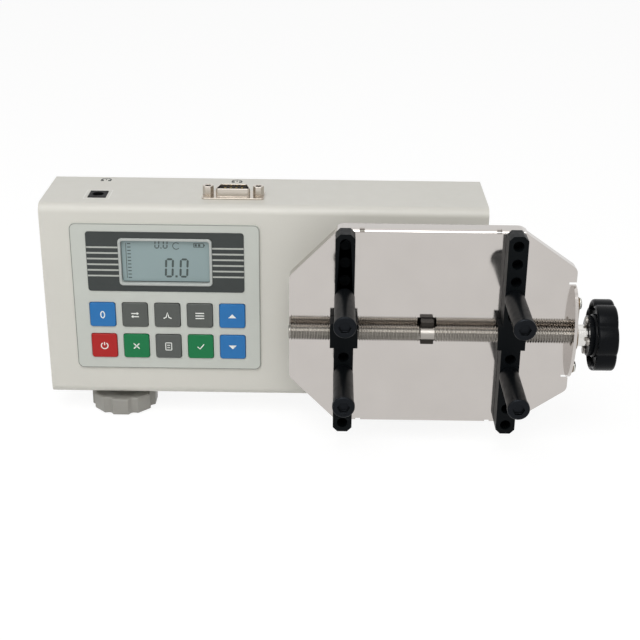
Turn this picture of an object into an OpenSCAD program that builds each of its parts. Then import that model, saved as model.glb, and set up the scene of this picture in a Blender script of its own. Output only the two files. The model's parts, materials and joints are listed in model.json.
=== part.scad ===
// Digital torque tester with a self-centring clamp plate.
// Two posts on each jaw grip a bottle or a cap, and the plate passes its twist to a torque cell.
// Lengths are millimetres. X runs to the right, Y to the back and Z up.
// The origin is on the surface it stands on, under the middle of the whole object.

/* [Housing] */
// Width of the housing
housing_w = 220; // [212:1:250]
// Height of the housing without its feet
housing_h = 102.6; // [99:0.2:116]
// Depth of the housing
housing_d = 46; // [46:1:60]
// Thickness of the folded sheet
sheet_t = 1.2; // [1:0.1:1.4]
// Outside radius of the two long bends at the front
front_bend_r = 4.5; // [3:0.5:6]
// Outside radius of the two upright bends at the back
rear_bend_r = 2.5; // [2:0.5:4]
// Play round a cover that drops into the wrap
cover_play = 0.15; // [0.1:0.05:0.3]

/* [Cover screws] */
// Diameter of the threaded posts inside the housing
cover_post_d = 7; // [6:0.5:8]
// Distance of a post's centre from the housing's sides
cover_post_inset = 9; // [8:0.5:10]
// Diameter of the cover screws
cover_screw_d = 3; // [2.5:0.5:4]
// Reach of a cover screw below its head
cover_screw_l = 8; // [5:1:12]

/* [Keypad panel] */
// Distance of the panel from the housing's left side
panel_x = 14.7; // [13.5:0.1:16]
// Distance of the panel's middle above the housing's middle
panel_up = 3.1; // [2.5:0.1:4]
// Width of the panel
panel_w = 93.4; // [92.5:0.1:96]
// Height of the panel
panel_h = 77.8; // [76.5:0.1:79]
// Thickness of the panel
panel_t = 1; // [0.8:0.1:1.5]
// Corner radius of the panel
panel_r = 3; // [1:0.5:5]
// Width of the housing's rim behind the panel's edge
panel_rim = 5; // [4.5:0.1:5.4]

/* [Keys] */
// Width of a key
key_w = 12.8; // [11:0.1:13.2]
// Height of a key
key_h = 12.9; // [11:0.1:13.2]
// Corner radius of a key
key_r = 1.3; // [0.5:0.1:2.5]
// Step from key to key across
key_step_x = 16.3; // [15.6:0.1:16.4]
// Step from key row to key row
key_step_z = 17.1; // [15.6:0.1:17.5]
// Height of the lower key row's middle above the panel's bottom edge
key_row_z = 12.6; // [12.4:0.1:14]
// How far a key stands out of the panel
key_proud = 0.7; // [0.5:0.1:1.2]
// How far a key can be pressed
key_travel = 0.4; // [0.2:0.05:0.5]
// Play round a key in its hole
key_play = 0.25; // [0.15:0.05:0.35]
// How far a key's flange reaches behind the panel
key_lip = 0.7; // [0.5:0.05:0.8]

/* [Display] */
// Width of the dark surround
surround_w = 77.9; // [70:0.1:82]
// Height of the dark surround
surround_h = 31.3; // [29:0.1:32]
// Height of the surround's middle above the panel's bottom edge
surround_z = 58.1; // [57:0.1:58.6]
// Width of the window frame
window_w = 46.3; // [40:0.1:50]
// Height of the window frame
window_h = 24.8; // [20:0.1:26]
// Width of the window frame's bar
window_bar = 1.3; // [1:0.1:2]
// How far the window frame stands out of the panel
window_proud = 0.8; // [0.5:0.1:1.5]
// Depth of the screen behind the housing's front face
screen_depth = 0.6; // [0.2:0.1:1]
// Thickness of the screen's glass
screen_t = 1; // [0.7:0.1:1.3]
// Height of one light stripe beside the window
stripe_h = 1; // [0.6:0.1:1.4]
// Step from stripe to stripe
stripe_step = 3; // [2:0.1:3.4]

/* [Board] */
// Depth of the board's front face behind the housing's front face
board_y = 6; // [5.5:0.5:8]
// Thickness of the board
board_t = 1.6; // [1:0.2:2]
// Diameter of the board's spacers
spacer_d = 4.4; // [4:0.1:4.6]
// Diameter of the board's screws
board_screw_d = 2.5; // [2:0.1:2.6]

/* [Torque plate] */
// Distance of the torque axis from the housing's right side
axis_inset = 30.4; // [30:0.1:34]
// Distance of the plate's front face from the housing's front face
plate_gap = 28; // [25:0.5:36]
// Thickness of the plate
plate_t = 1.5; // [1.2:0.1:2]
// Reach of the plate left of the torque axis
plate_left = 66.1; // [60:0.1:75]
// Reach of the plate right of the torque axis
plate_right = 70; // [64:0.1:80]
// Height of the plate
plate_h = 100.6; // [92:0.2:110]
// Left chamfers, along the width
left_chamfer_w = 23.6; // [15:0.1:28]
// Left chamfers, along the height
left_chamfer_h = 24; // [15:0.1:26]
// Right chamfers, along the width
right_chamfer_w = 26.8; // [15:0.1:28]
// Right chamfers, along the height
right_chamfer_h = 18.7; // [12:0.1:22]
// Depth of the folded flange at the top and bottom
flange_d = 8.3; // [6:0.1:10]
// Depth of the folded flange along each chamfer
chamfer_flange_d = 5.8; // [5:0.1:6]
// Outside radius of the flange bends
flange_bend_r = 2; // [1.8:0.1:3]
// Reach of the bearing ear in front of the plate
ear_reach = 13; // [11:0.5:18]
// Height of the bearing ear
ear_h = 47; // [44:1:52]

/* [Lead screw] */
// Diameter of the lead screw
screw_d = 8; // [7:0.5:8]
// Distance of the screw's axis from the plate's front face
screw_out = 5; // [4.7:0.1:5.4]
// Diameter of the plain neck in the middle of the screw
neck_d = 6; // [4:0.5:6.5]
// Length of the plain neck
neck_l = 6.6; // [5:0.1:8]
// Play of a shaft in its bearing, on the radius
running_play = 0.05; // [0.02:0.01:0.09]

/* [Jaws] */
// Distance of each jaw from the torque axis
jaw_half = 39.8; // [30:0.1:50]
// Length of a jaw bar
bar_l = 102; // [98:0.5:110]
// Width of a jaw bar
bar_w = 9.2; // [8:0.1:10]
// Thickness of a jaw bar
bar_t = 9.6; // [9.6:0.1:11]
// Gap between a jaw bar and the plate
bar_gap = 0.4; // [0.3:0.05:0.45]
// Chamfer at a bar's ends
bar_chamfer = 2.2; // [1:0.1:3]
// Width of the nut block on a bar
block_w = 13.2; // [12:0.1:14]
// Height of the nut block on a bar
block_h = 12.5; // [11:0.1:14]
// Step from hole to hole along a bar
hole_step = 8.8; // [8:0.1:9]
// Distance of the first hole from the bar's middle
hole_first = 11; // [10.5:0.1:12]
// Diameter of the holes in a bar
hole_d = 5.1; // [4:0.1:6]
// Depth of the holes in a bar
hole_depth = 8; // [6:0.1:8.6]

/* [Posts] */
// Diameter of a post's sleeve
post_d = 9.6; // [8.5:0.1:10.5]
// Length of a post from the bar to the head of its screw
post_l = 32.6; // [25:0.2:45]
// Diameter of the screw head on a post
post_head_d = 10.4; // [9:0.1:11.5]
// Thickness of the screw head on a post
post_head_t = 2.6; // [2:0.1:4]

/* [Knob] */
// Diameter of the knob over its lobes
knob_d = 35; // [31:1:40]
// Thickness of the knob
knob_t = 9.8; // [8:0.1:14]
// Diameter of the steel collar between ear and knob
collar_d = 10.5; // [9.5:0.5:12]
// Length of the steel collar
collar_l = 5; // [4:0.5:10]
// Diameter of the flange behind the knob
knob_flange_d = 19.4; // [18.6:0.2:22]
// Thickness of the flange behind the knob
knob_flange_t = 2.3; // [2:0.1:5]

/* [Feet] */
// Distance of a foot's axis from the housing's nearer side
foot_x = 34.6; // [28:0.2:38]
// Distance of a foot's axis from the housing's front face
foot_y = 17; // [16.5:0.5:22]
// Diameter of a foot over its lobes
foot_d = 34.2; // [30:0.2:38]
// Thickness of a foot
foot_t = 9; // [7:0.5:12]
// Gap between the housing's bottom and a foot
foot_gap = 3.7; // [3:0.1:8]
// Diameter of a foot's stud
stud_d = 8; // [6:1:8]
// Diameter of the rubber pad under a foot
pad_d = 27; // [22:0.5:27]
// How far the rubber pad stands out of the foot
pad_proud = 0.6; // [0.4:0.1:1.5]

/* [Connectors] */
// Distance of the power socket from the housing's left side
socket_x = 26.8; // [22:0.1:40]
// Width of the power socket
socket_w = 8.9; // [8:0.1:10]
// Depth of the power socket
socket_d = 10.5; // [9:0.1:11]
// Distance of both connectors' middle from the housing's front face
connector_y = 16.6; // [16:0.1:18]
// Distance of the serial connector from the housing's left side
serial_x = 94.3; // [80:0.1:110]
// Distance between the serial connector's two jack screws
jackscrew_step = 24.99; // [24.99:0.01:25]
// Height of the serial connector's shell above the housing
serial_shell_h = 5; // [4:0.1:7]

/* [Torque cell] */
// Outside diameter of the spindle's bearing
bearing_d = 35; // [35:0.5:38]
// Bore of the spindle's bearing
bearing_bore = 17; // [14:0.5:17]
// Diameter of the bearing's balls
ball_d = 5; // [4.6:0.1:5]
// Thickness of the block that holds the bearing
mount_t = 8; // [8:0.5:10]
// Diameter of the spindle between plate and housing
spindle_d = 22; // [20:0.5:22]
// Diameter of the spindle's flange behind the plate
spindle_flange_d = 52; // [46:1:58]
// Thickness of the spindle's flange
spindle_flange_t = 4.5; // [4:0.1:6]
// Diameter of the spindle's tail in the torque cell
tail_d = 12; // [10:0.5:12]
// Diameter of the torque cell
cell_d = 24; // [22:0.5:26]

/* [Hidden] */
$fn = 48;

// One overrun serves every cut.
over = 1;
// Gap left between two pieces that touch lightly or are screwed together
seat_play = 0.05;

// Housing
axis_x = housing_w - axis_inset;
axis_z = housing_h / 2;
housing_back = housing_d - sheet_t;
cover_post_xs = [cover_post_inset, housing_w - cover_post_inset];
cover_post_zs = [cover_post_inset, housing_h - cover_post_inset];
cover_head_d = cover_screw_d * 1.9;
cover_head_t = cover_screw_d * 0.65;
cover_head_r = cover_head_t * 0.45;

// Keypad panel and keys
key_columns = 5;
panel_mid_x = panel_x + panel_w / 2;
panel_z = (housing_h - panel_h) / 2 + panel_up;
panel_mid_z = panel_z + panel_h / 2;
keypad_mid_x = panel_mid_x;
key_lip_t = 0.7;
key_stem_d = 4;
key_stem_end = 1.5;
switch_w = 6;
switch_t = 3.2;
plunger_d = 3.4;

// Display
surround_t = 0.3;
surround_r = 1.5;
surround_mid_z = panel_z + surround_z;
window_r = 2;
stripe_count = 6;
stripe_gap = 0.1;
stripe_l = (surround_w - window_w) / 2;
module_border_w = 3;
module_border_h = 1.6;
spacer_inset = panel_rim / 2;
board_head_d = board_screw_d * 1.7;
board_head_t = board_screw_d * 0.7;

// Connectors
socket_h = 11;
socket_lip = 1.5;
socket_bore_d = 5.6;
socket_bore_l = 9;
socket_pin_d = 2;
socket_proud = 0.3;
serial_flange_w = 30.8;
serial_flange_d = 12.5;
serial_flange_t = 0.8;
serial_flange_r = 1.5;
serial_shell_w = 16.9;
serial_shell_d = 8.4;
serial_shell_r = 1.6;
serial_shell_t = 0.5;
serial_body_h = 9;
serial_body_step = 1.2;
serial_slope = 10;
jackscrew_w = 4.75;
jackscrew_h = 4.6;
jackscrew_bore_d = 2.8;
jackscrew_shank_d = 3.4;

// Battery
cell_dia = 14.2;
cell_len = 50;
cell_step = 14.8;
cell_rows = 3;
battery_x = 66;
battery_z = 36;
battery_wall = 1.6;
battery_lip = 5;
battery_play = 0.2;

// Torque cell
mount_w = 52;
mount_h = 68;
mount_back = sheet_t + mount_t;
mount_screw_d = 4;
mount_screw_l = 7;
mount_screw_x = 20;
mount_screw_z = 28;
bearing_ring_t = 3;
ball_count = 8;
ball_play = 0.1;
race_mid_d = (bearing_d + bearing_bore) / 2;
cell_gap = 0.5;
cell_front = mount_back + cell_gap;
cell_flange_d = 40;
cell_flange_t = 4;
bridge_t = 4;
bridge_h = 40;
screw_room = 4.4;
bridge_front = housing_back - screw_room - bridge_t;
cell_waist_cut = 2.5;
cell_waist_d = cell_d - 2 * cell_waist_cut;
cell_waist_l = 9;
cell_screw_d = 4;
cell_screw_l = bridge_t + cell_flange_t - over;
cell_screw_r = 15.5;
cell_head_d = 7;
cell_head_t = 4;
tail_end = bridge_front - over;

// Torque plate, measured from the torque axis
plate_front = -plate_gap;
plate_back = plate_front + plate_t;
spindle_flange_back = plate_back + spindle_flange_t;
spindle_hole_play = 1;
weld_stud_d = 4;
weld_stud_r = 19;
nut_w = 7;
nut_t = 3.2;
weld_stud_l = spindle_flange_t + nut_t + over;
cutout_w = 9;
cutout_h = 12.2;
plate_corner_r = 2;
notch_w = 2.4;
notch_h = 1.6;
notch_x = 32;
ear_notch_w = 3.5;
saddle_play = 0.2;
saddle_w = neck_l - 2 * saddle_play;
saddle_h = 11.5;
saddle_foot_w = 16;
saddle_foot_h = 20;
saddle_foot_t = 3;

// Ear, bush and lead screw
ear_inside = plate_right - plate_t;
bush_wall = 1;
bush_rim = 2;
bush_d = screw_d + 2 * bush_wall;
bush_flange_d = bush_d + 2 * bush_rim;
bush_flange_t = 0.8;
bush_tab_w = 6;
bush_tab_screw = 16.4;
ear_screw_d = 2.5;
ear_screw_head_d = 5.6;
ear_screw_head_t = 1.2;
ear_screw_head_r = 0.5;
ear_screw_l = plate_t + bush_flange_t + over / 2;
screw_y = plate_front - screw_out;
screw_chamfer = 1;
collar_start = plate_right + bush_flange_t + seat_play;
knob_flange_start = collar_start + collar_l;
knob_start = knob_flange_start + knob_flange_t;
knob_end = knob_start + knob_t;
knob_cap_t = 3;
knob_bore_l = knob_t - knob_cap_t;
screw_end_gap = 0.5;
screw_end = knob_start + knob_bore_l - screw_end_gap;
knob_screw_d = 2.5;
knob_head_play = 0.3;
knob_head_d = (knob_flange_d - collar_d) / 2 - 2 * knob_head_play;
knob_head_t = 1.3;
knob_screw_grip = 3;
knob_screw_l = knob_flange_t + knob_screw_grip;
knob_screw_ring_d = (knob_flange_d + collar_d) / 2;
knob_screw_count = 4;
knob_lobes = 7;
knob_body_share = 0.9;
knob_lobe_share = 0.25;
knob_edge_r = 1.4;
knob_dish_share = 0.62;
knob_dish_t = 1;

// Jaws and posts
bar_back = plate_front - bar_gap;
bar_front = bar_back - bar_t;
bar_holes = 5;
post_hole = 1;
post_tip = bar_front - post_l;
post_screw_d = hole_d - 2 * seat_play;
post_socket_w = 5;
post_socket_l = 1.6;
post_head_r = 0.8;

// Feet
foot_lobes = 8;
foot_body_share = 0.86;
foot_lobe_share = 0.29;
foot_edge_r = 1.2;
foot_top = -foot_gap;
foot_bottom = foot_top - foot_t;
pad_t = 2.1;
pad_play = 0.3;
insert_wall = 3;
insert_d = stud_d + 2 * insert_wall;
insert_h = 9;
stud_top = sheet_t + insert_h - over;
stud_bottom = foot_bottom + foot_t / 3;
foot_xs = [foot_x, housing_w - foot_x];

// Place of the origin on the object
front_end = post_tip - post_head_t;
back_end = housing_d + cover_head_t;
origin_x = (axis_x + knob_end) / 2;
origin_y = (front_end + back_end) / 2;
stand_h = foot_gap + foot_t + pad_proud;

// Helpers

// Moves a piece from the housing's front bottom left corner to the origin.
module at_origin() {
    translate([-origin_x, -origin_y, stand_h]) children();
}

// Moves a piece from the torque axis to the housing's corner, and on to the origin.
module at_axis() {
    at_origin() translate([axis_x, 0, axis_z]) children();
}

// Raises a flat shape drawn across and up to a slab between two depths.
module slab_y(from, to) {
    translate([0, to, 0]) rotate([90, 0, 0]) linear_extrude(to - from) children();
}

// Raises a flat shape drawn in depth and height to a slab between two widths.
module slab_x(from, to) {
    translate([from, 0, 0]) rotate([90, 0, 90]) linear_extrude(to - from) children();
}

module rod_y(d, from, to) {
    translate([0, from, 0]) rotate([-90, 0, 0]) cylinder(d = d, h = to - from);
}

module rod_x(d, from, to) {
    translate([from, 0, 0]) rotate([0, 90, 0]) cylinder(d = d, h = to - from);
}

// A rectangle with round corners, about its middle.
module round_rect(w, h, r) {
    square([w - 2 * r, h], center = true);
    square([w, h - 2 * r], center = true);
    for (sx = [-1, 1], sz = [-1, 1])
        translate([sx * (w / 2 - r), sz * (h / 2 - r)]) circle(r);
}

// A disc with round edges, standing on its face.
module round_disc(d, t, r) {
    rotate_extrude() {
        square([d / 2 - r, t]);
        translate([0, r]) square([d / 2, t - 2 * r]);
        for (z = [r, t - r]) translate([d / 2 - r, z]) circle(r);
    }
}

// A screw head with a round upper edge, on its underside.
module pan_head(d, t, r) {
    rotate_extrude() {
        square([d / 2 - r, t]);
        square([d / 2, t - r]);
        translate([d / 2 - r, t - r]) circle(r);
    }
}

module hex_rod(w, h) {
    cylinder(d = w / cos(30), h = h, $fn = 6);
}

// The outline of a lobed hand wheel.
module lobed_outline(d, lobes, body_share, lobe_share) {
    circle(d / 2 * body_share);
    for (i = [0 : lobes - 1])
        rotate(i * 360 / lobes) translate([d / 2 * (1 - lobe_share), 0]) circle(d / 2 * lobe_share);
}

// A lobed hand wheel with round edges, standing on its face.
module lobed_wheel(d, t, lobes, body_share, lobe_share, edge_r) {
    intersection() {
        linear_extrude(t) lobed_outline(d, lobes, body_share, lobe_share);
        round_disc(d, t, edge_r);
    }
}

// Housing

// Depth and height of the wrap, with its two round front edges.
module wrap_outline(inset, back) {
    r = front_bend_r - inset;
    w = back - inset;
    h = housing_h - 2 * inset;
    translate([inset, inset]) {
        translate([r, 0]) square([w - r, h]);
        translate([0, r]) square([w, h - 2 * r]);
        for (z = [r, h - r]) translate([r, z]) circle(r);
    }
}

module d_outline(w, d, r) {
    taper = d * tan(serial_slope);
    hull()
        for (s = [-1, 1]) {
            translate([s * (w / 2 - r), -d / 2 + r]) circle(r, $fn = 24);
            translate([s * (w / 2 - r - taper), d / 2 - r]) circle(r, $fn = 24);
        }
}

module front_shell() {
    color("#e4e1d6") at_origin() {
        difference() {
            slab_x(0, housing_w) difference() {
                wrap_outline(0, housing_d);
                wrap_outline(sheet_t, housing_d + over);
            }
            translate([panel_mid_x, 0, panel_mid_z]) slab_y(-over, sheet_t + over)
                square([panel_w - 2 * panel_rim, panel_h - 2 * panel_rim], center = true);
            translate([axis_x, 0, axis_z]) {
                rod_y(spindle_d + 2 * spindle_hole_play, -over, sheet_t + over);
                for (sx = [-1, 1], sz = [-1, 1])
                    translate([sx * mount_screw_x, 0, sz * mount_screw_z])
                        rod_y(mount_screw_d + 2 * seat_play, -over, sheet_t + over);
            }
            translate([socket_x, connector_y, housing_h])
                cube([socket_w + 2 * cover_play, socket_d + 2 * cover_play, 4 * sheet_t],
                    center = true);
            translate([serial_x, connector_y, housing_h - sheet_t - over])
                linear_extrude(sheet_t + 2 * over)
                    square([serial_shell_w + 2 * cover_play, serial_shell_d + 2 * cover_play],
                        center = true);
            for (s = [-1, 1])
                translate([serial_x + s * jackscrew_step / 2, connector_y,
                        housing_h - sheet_t - over])
                    cylinder(d = jackscrew_shank_d + 2 * seat_play, h = sheet_t + 2 * over);
            for (x = foot_xs)
                translate([x, foot_y, -over])
                    cylinder(d = stud_d + 4 * cover_play, h = sheet_t + 2 * over);
        }
        for (x = cover_post_xs, z = cover_post_zs)
            translate([x, 0, z]) difference() {
                rod_y(cover_post_d, sheet_t, housing_back - seat_play);
                rod_y(cover_screw_d + 2 * seat_play,
                    housing_d - cover_screw_l - 2 * over, housing_back + over);
            }
    }
}

module rear_cover() {
    gap = sheet_t + cover_play;
    r = rear_bend_r;
    w = housing_w;
    color("#dedbd0") at_origin() difference() {
        intersection() {
            translate([0, 0, gap]) linear_extrude(housing_h - 2 * gap) difference() {
                union() {
                    square([w, housing_d - r]);
                    translate([r, 0]) square([w - 2 * r, housing_d]);
                    for (x = [r, w - r]) translate([x, housing_d - r]) circle(r);
                }
                union() {
                    translate([sheet_t, -over])
                        square([w - 2 * sheet_t, housing_d - r + over]);
                    translate([r, -over]) square([w - 2 * r, housing_back + over]);
                    for (x = [r, w - r]) translate([x, housing_d - r]) circle(r - sheet_t);
                }
            }
            slab_x(-over, w + over) wrap_outline(gap, housing_d + over);
        }
        for (x = cover_post_xs, z = cover_post_zs)
            translate([x, 0, z])
                rod_y(cover_screw_d + 2 * seat_play, housing_back - over, housing_d + over);
    }
}

module cover_screws() {
    color("#a8a8a6") at_origin()
        for (x = cover_post_xs, z = cover_post_zs)
            translate([x, housing_d, z]) {
                rotate([-90, 0, 0]) pan_head(cover_head_d, cover_head_t, cover_head_r);
                rod_y(cover_screw_d, -cover_screw_l, 0);
            }
}

// Keypad panel, display and keys

// Puts its children at the place of a key, counted from the left, in row 0 below or 1 above.
module at_key(column, row) {
    translate([
        keypad_mid_x + (column - (key_columns - 1) / 2) * key_step_x,
        0,
        panel_z + key_row_z + row * key_step_z
    ]) children();
}

module at_window() {
    translate([panel_mid_x, 0, surround_mid_z]) children();
}

module keypad_panel() {
    color("#c3c3ba") at_origin() difference() {
        translate([panel_mid_x, 0, panel_mid_z])
            slab_y(-panel_t, 0) round_rect(panel_w, panel_h, panel_r);
        for (column = [0 : key_columns - 1], row = [0, 1])
            at_key(column, row) slab_y(-panel_t - over, over)
                round_rect(key_w + 2 * key_play, key_h + 2 * key_play, key_r);
        at_window() slab_y(-panel_t - over, over)
            round_rect(window_w + 2 * seat_play, window_h + 2 * seat_play, window_r);
    }
}

module display_surround() {
    color("#62676a") at_origin() at_window() difference() {
        slab_y(-panel_t - surround_t, -panel_t) round_rect(surround_w, surround_h, surround_r);
        slab_y(-panel_t - surround_t - over, -panel_t + over) {
            round_rect(window_w + 2 * seat_play, window_h + 2 * seat_play, window_r);
            for (s = [-1, 1], i = [0 : stripe_count - 1])
                translate([s * (window_w + stripe_l) / 2,
                        (i - (stripe_count - 1) / 2) * stripe_step])
                    square([stripe_l - 2 * stripe_gap, stripe_h], center = true);
        }
    }
}

module window_frame() {
    color("#d8dad4") at_origin() at_window()
        slab_y(-panel_t - window_proud, screen_depth) difference() {
            round_rect(window_w, window_h, window_r);
            round_rect(window_w - 2 * window_bar, window_h - 2 * window_bar,
                window_r - window_bar / 2);
        }
}

module lcd_glass() {
    color("#8b9e9f") at_origin() at_window()
        slab_y(screen_depth, screen_depth + screen_t)
            square([window_w - window_bar, window_h - window_bar], center = true);
}

module lcd_module() {
    front = screen_depth + screen_t + seat_play;
    color("#2f3436") at_origin() at_window() slab_y(front, board_y)
        square([window_w + 2 * module_border_w, window_h + 2 * module_border_h], center = true);
}

module display_board() {
    color("#1f6b45") at_origin() difference() {
        translate([panel_mid_x, 0, panel_mid_z])
            slab_y(board_y, board_y + board_t) square([panel_w, panel_h], center = true);
        at_spacers() rod_y(board_screw_d + 2 * seat_play, board_y - over, board_y + board_t + over);
    }
}

module at_spacers() {
    for (sx = [-1, 1], sz = [-1, 1])
        translate([
            panel_mid_x + sx * (panel_w / 2 - spacer_inset),
            0,
            panel_mid_z + sz * (panel_h / 2 - spacer_inset)
        ]) children();
}

module board_spacers() {
    color("#c9b26a") at_origin() at_spacers() difference() {
        rod_y(spacer_d, sheet_t, board_y);
        rod_y(board_screw_d + 2 * seat_play, sheet_t - over, board_y + over);
    }
}

module board_screws() {
    color("#a8a8a6") at_origin() at_spacers() {
        rod_y(board_screw_d, sheet_t + seat_play, board_y + board_t);
        rod_y(board_head_d, board_y + board_t, board_y + board_t + board_head_t);
    }
}

module key_switches() {
    color("#3a3a3c") at_origin()
        for (column = [0 : key_columns - 1], row = [0, 1]) at_key(column, row) {
            slab_y(board_y - switch_t, board_y) square(switch_w, center = true);
            rod_y(plunger_d, key_stem_end + key_travel + seat_play, board_y - switch_t);
        }
}

// A key with the flange that holds it behind the panel and the stem that meets its switch.
module key(column, row) {
    at_origin() at_key(column, row) {
        slab_y(-panel_t - key_proud, seat_play) round_rect(key_w, key_h, key_r);
        slab_y(seat_play, key_lip_t) round_rect(key_w + 2 * key_lip, key_h + 2 * key_lip, key_r);
        rod_y(key_stem_d, key_lip_t, key_stem_end);
    }
}

module key_zero() { color("#2d73b9") key(0, 1); }
module key_unit() { color("#676965") key(1, 1); }
module key_peak() { color("#676965") key(2, 1); }
module key_memory() { color("#676965") key(3, 1); }
module key_up() { color("#2d73b9") key(4, 1); }
module key_power() { color("#be2828") key(0, 0); }
module key_clear() { color("#117c4f") key(1, 0); }
module key_print() { color("#676965") key(2, 0); }
module key_set() { color("#117c4f") key(3, 0); }
module key_down() { color("#2d73b9") key(4, 0); }

// Battery

module at_cells() {
    for (row = [0 : cell_rows - 1], s = [-1, 1])
        translate([
            battery_x + s * (cell_len + battery_play) / 2,
            housing_back - battery_wall - cell_dia / 2 - battery_play,
            battery_z + (row - (cell_rows - 1) / 2) * cell_step
        ]) children();
}

module battery_cells() {
    color("#3f7fb0") at_origin() at_cells() rod_x(cell_dia, -cell_len / 2, cell_len / 2);
}

module battery_tray() {
    w = 2 * cell_len + 3 * battery_play;
    h = cell_rows * cell_step + battery_play;
    d = battery_wall + cell_dia / 2;
    color("#202224") at_origin()
        translate([battery_x, housing_back - seat_play, battery_z]) difference() {
            slab_y(-d, 0) square([w + 2 * battery_wall, h + 2 * battery_wall], center = true);
            slab_y(-d - over, -battery_wall) square([w, h], center = true);
        }
}

// Connectors

module power_socket() {
    color("#15161a") at_origin() translate([socket_x, connector_y, housing_h]) {
        difference() {
            union() {
                translate([0, 0, socket_proud - socket_h / 2])
                    cube([socket_w, socket_d, socket_h], center = true);
                translate([0, 0, -sheet_t - seat_play - socket_lip / 2])
                    cube([socket_w + 2 * socket_lip, socket_d + 2 * socket_lip, socket_lip],
                        center = true);
            }
            translate([0, 0, socket_proud - socket_bore_l])
                cylinder(d = socket_bore_d, h = socket_bore_l + over);
        }
        translate([0, 0, socket_proud - socket_bore_l - over])
            cylinder(d = socket_pin_d, h = socket_bore_l);
    }
}

module at_jackscrews() {
    for (s = [-1, 1]) translate([s * jackscrew_step / 2, 0, 0]) children();
}

module serial_shell() {
    color("#cfcac2") at_origin() translate([serial_x, connector_y, housing_h]) {
        difference() {
            union() {
                linear_extrude(serial_flange_t)
                    round_rect(serial_flange_w, serial_flange_d, serial_flange_r);
                linear_extrude(serial_shell_h)
                    d_outline(serial_shell_w, serial_shell_d, serial_shell_r);
            }
            translate([0, 0, -over]) linear_extrude(serial_shell_h + 2 * over)
                d_outline(serial_shell_w - 2 * serial_shell_t, serial_shell_d - 2 * serial_shell_t,
                    serial_shell_r - serial_shell_t);
            at_jackscrews() translate([0, 0, -over])
                cylinder(d = jackscrew_shank_d + 2 * seat_play, h = serial_flange_t + 2 * over);
        }
    }
}

module serial_insert() {
    inset = serial_shell_t + seat_play;
    color("#101113") at_origin() translate([serial_x, connector_y, housing_h]) {
        translate([0, 0, -serial_body_h]) linear_extrude(serial_body_h + serial_shell_h - serial_body_step)
            d_outline(serial_shell_w - 2 * inset, serial_shell_d - 2 * inset, serial_shell_r - inset);
        translate([0, 0, -serial_body_h]) linear_extrude(serial_body_h - sheet_t - seat_play)
            round_rect(serial_shell_w + serial_body_step, serial_shell_d + serial_body_step,
                serial_shell_r);
    }
}

module serial_jackscrews() {
    color("#b9b7b2") at_origin() translate([serial_x, connector_y, housing_h]) at_jackscrews()
        difference() {
            union() {
                translate([0, 0, serial_flange_t]) hex_rod(jackscrew_w, jackscrew_h);
                translate([0, 0, -serial_body_h / 2])
                    cylinder(d = jackscrew_shank_d, h = serial_body_h / 2 + serial_flange_t);
            }
            translate([0, 0, serial_flange_t + over / 2])
                cylinder(d = jackscrew_bore_d, h = jackscrew_h);
        }
}

// Torque cell and spindle

module at_mount_screws() {
    for (sx = [-1, 1], sz = [-1, 1])
        translate([sx * mount_screw_x, 0, sz * mount_screw_z]) children();
}

module sensor_mount() {
    color("#9a9da0") at_axis() difference() {
        slab_y(sheet_t, mount_back) square([mount_w, mount_h], center = true);
        rod_y(bearing_d + 2 * seat_play, sheet_t - over, mount_back + over);
        at_mount_screws() rod_y(mount_screw_d + 2 * seat_play, sheet_t - over, mount_back + over);
    }
}

module sensor_screws() {
    color("#a8a8a6") at_axis() {
        at_mount_screws() {
            rod_y(mount_screw_d, 0, mount_screw_l);
            rotate([90, 0, 0]) pan_head(cell_head_d, cell_head_t / 2, cell_head_t / 5);
        }
        at_cell_screws() {
            rod_y(cell_screw_d, bridge_front + bridge_t - cell_screw_l, bridge_front + bridge_t);
            rod_y(cell_head_d, bridge_front + bridge_t, bridge_front + bridge_t + cell_head_t);
        }
    }
}

module at_cell_screws() {
    for (i = [0 : 3])
        rotate([0, 45 + i * 90, 0]) translate([cell_screw_r, 0, 0]) children();
}

module sensor_bridge() {
    color("#8f9295") at_axis() difference() {
        union() {
            slab_y(bridge_front, bridge_front + bridge_t)
                square([mount_w, bridge_h], center = true);
            for (s = [-1, 1])
                translate([s * (mount_w - bridge_t) / 2, 0, 0])
                    slab_y(mount_back, bridge_front + over)
                        square([bridge_t, bridge_h], center = true);
        }
        at_cell_screws()
            rod_y(cell_screw_d + 2 * seat_play, bridge_front - over, bridge_front + bridge_t + over);
    }
}

module torque_cell() {
    cell_back = bridge_front;
    waist_mid = (cell_front + cell_back - cell_flange_t) / 2;
    color("#b4b6b8") at_axis() difference() {
        union() {
            rod_y(cell_waist_d, cell_front, cell_back);
            rod_y(cell_d, cell_front, waist_mid - cell_waist_l / 2);
            rod_y(cell_d, waist_mid + cell_waist_l / 2, cell_back);
            rod_y(cell_flange_d, cell_back - cell_flange_t, cell_back);
        }
        rod_y(tail_d + 2 * running_play, cell_front - over, cell_back + over);
        at_cell_screws()
            rod_y(cell_screw_d + 2 * seat_play, cell_back - cell_flange_t - over, cell_back + over);
    }
}

// A bearing ring between two diameters, with its race.
module bearing_ring(inner_d, outer_d) {
    translate([0, sheet_t, 0]) rotate([-90, 0, 0]) rotate_extrude() difference() {
        translate([inner_d / 2, 0]) square([(outer_d - inner_d) / 2, mount_t]);
        translate([race_mid_d / 2, mount_t / 2]) circle(ball_d / 2 + ball_play);
    }
}

module bearing_outer_ring() {
    color("#c2c4c6") at_axis() bearing_ring(bearing_d - 2 * bearing_ring_t, bearing_d);
}

module bearing_inner_ring() {
    color("#c2c4c6") at_axis()
        bearing_ring(bearing_bore, bearing_bore + 2 * bearing_ring_t);
}

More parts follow.
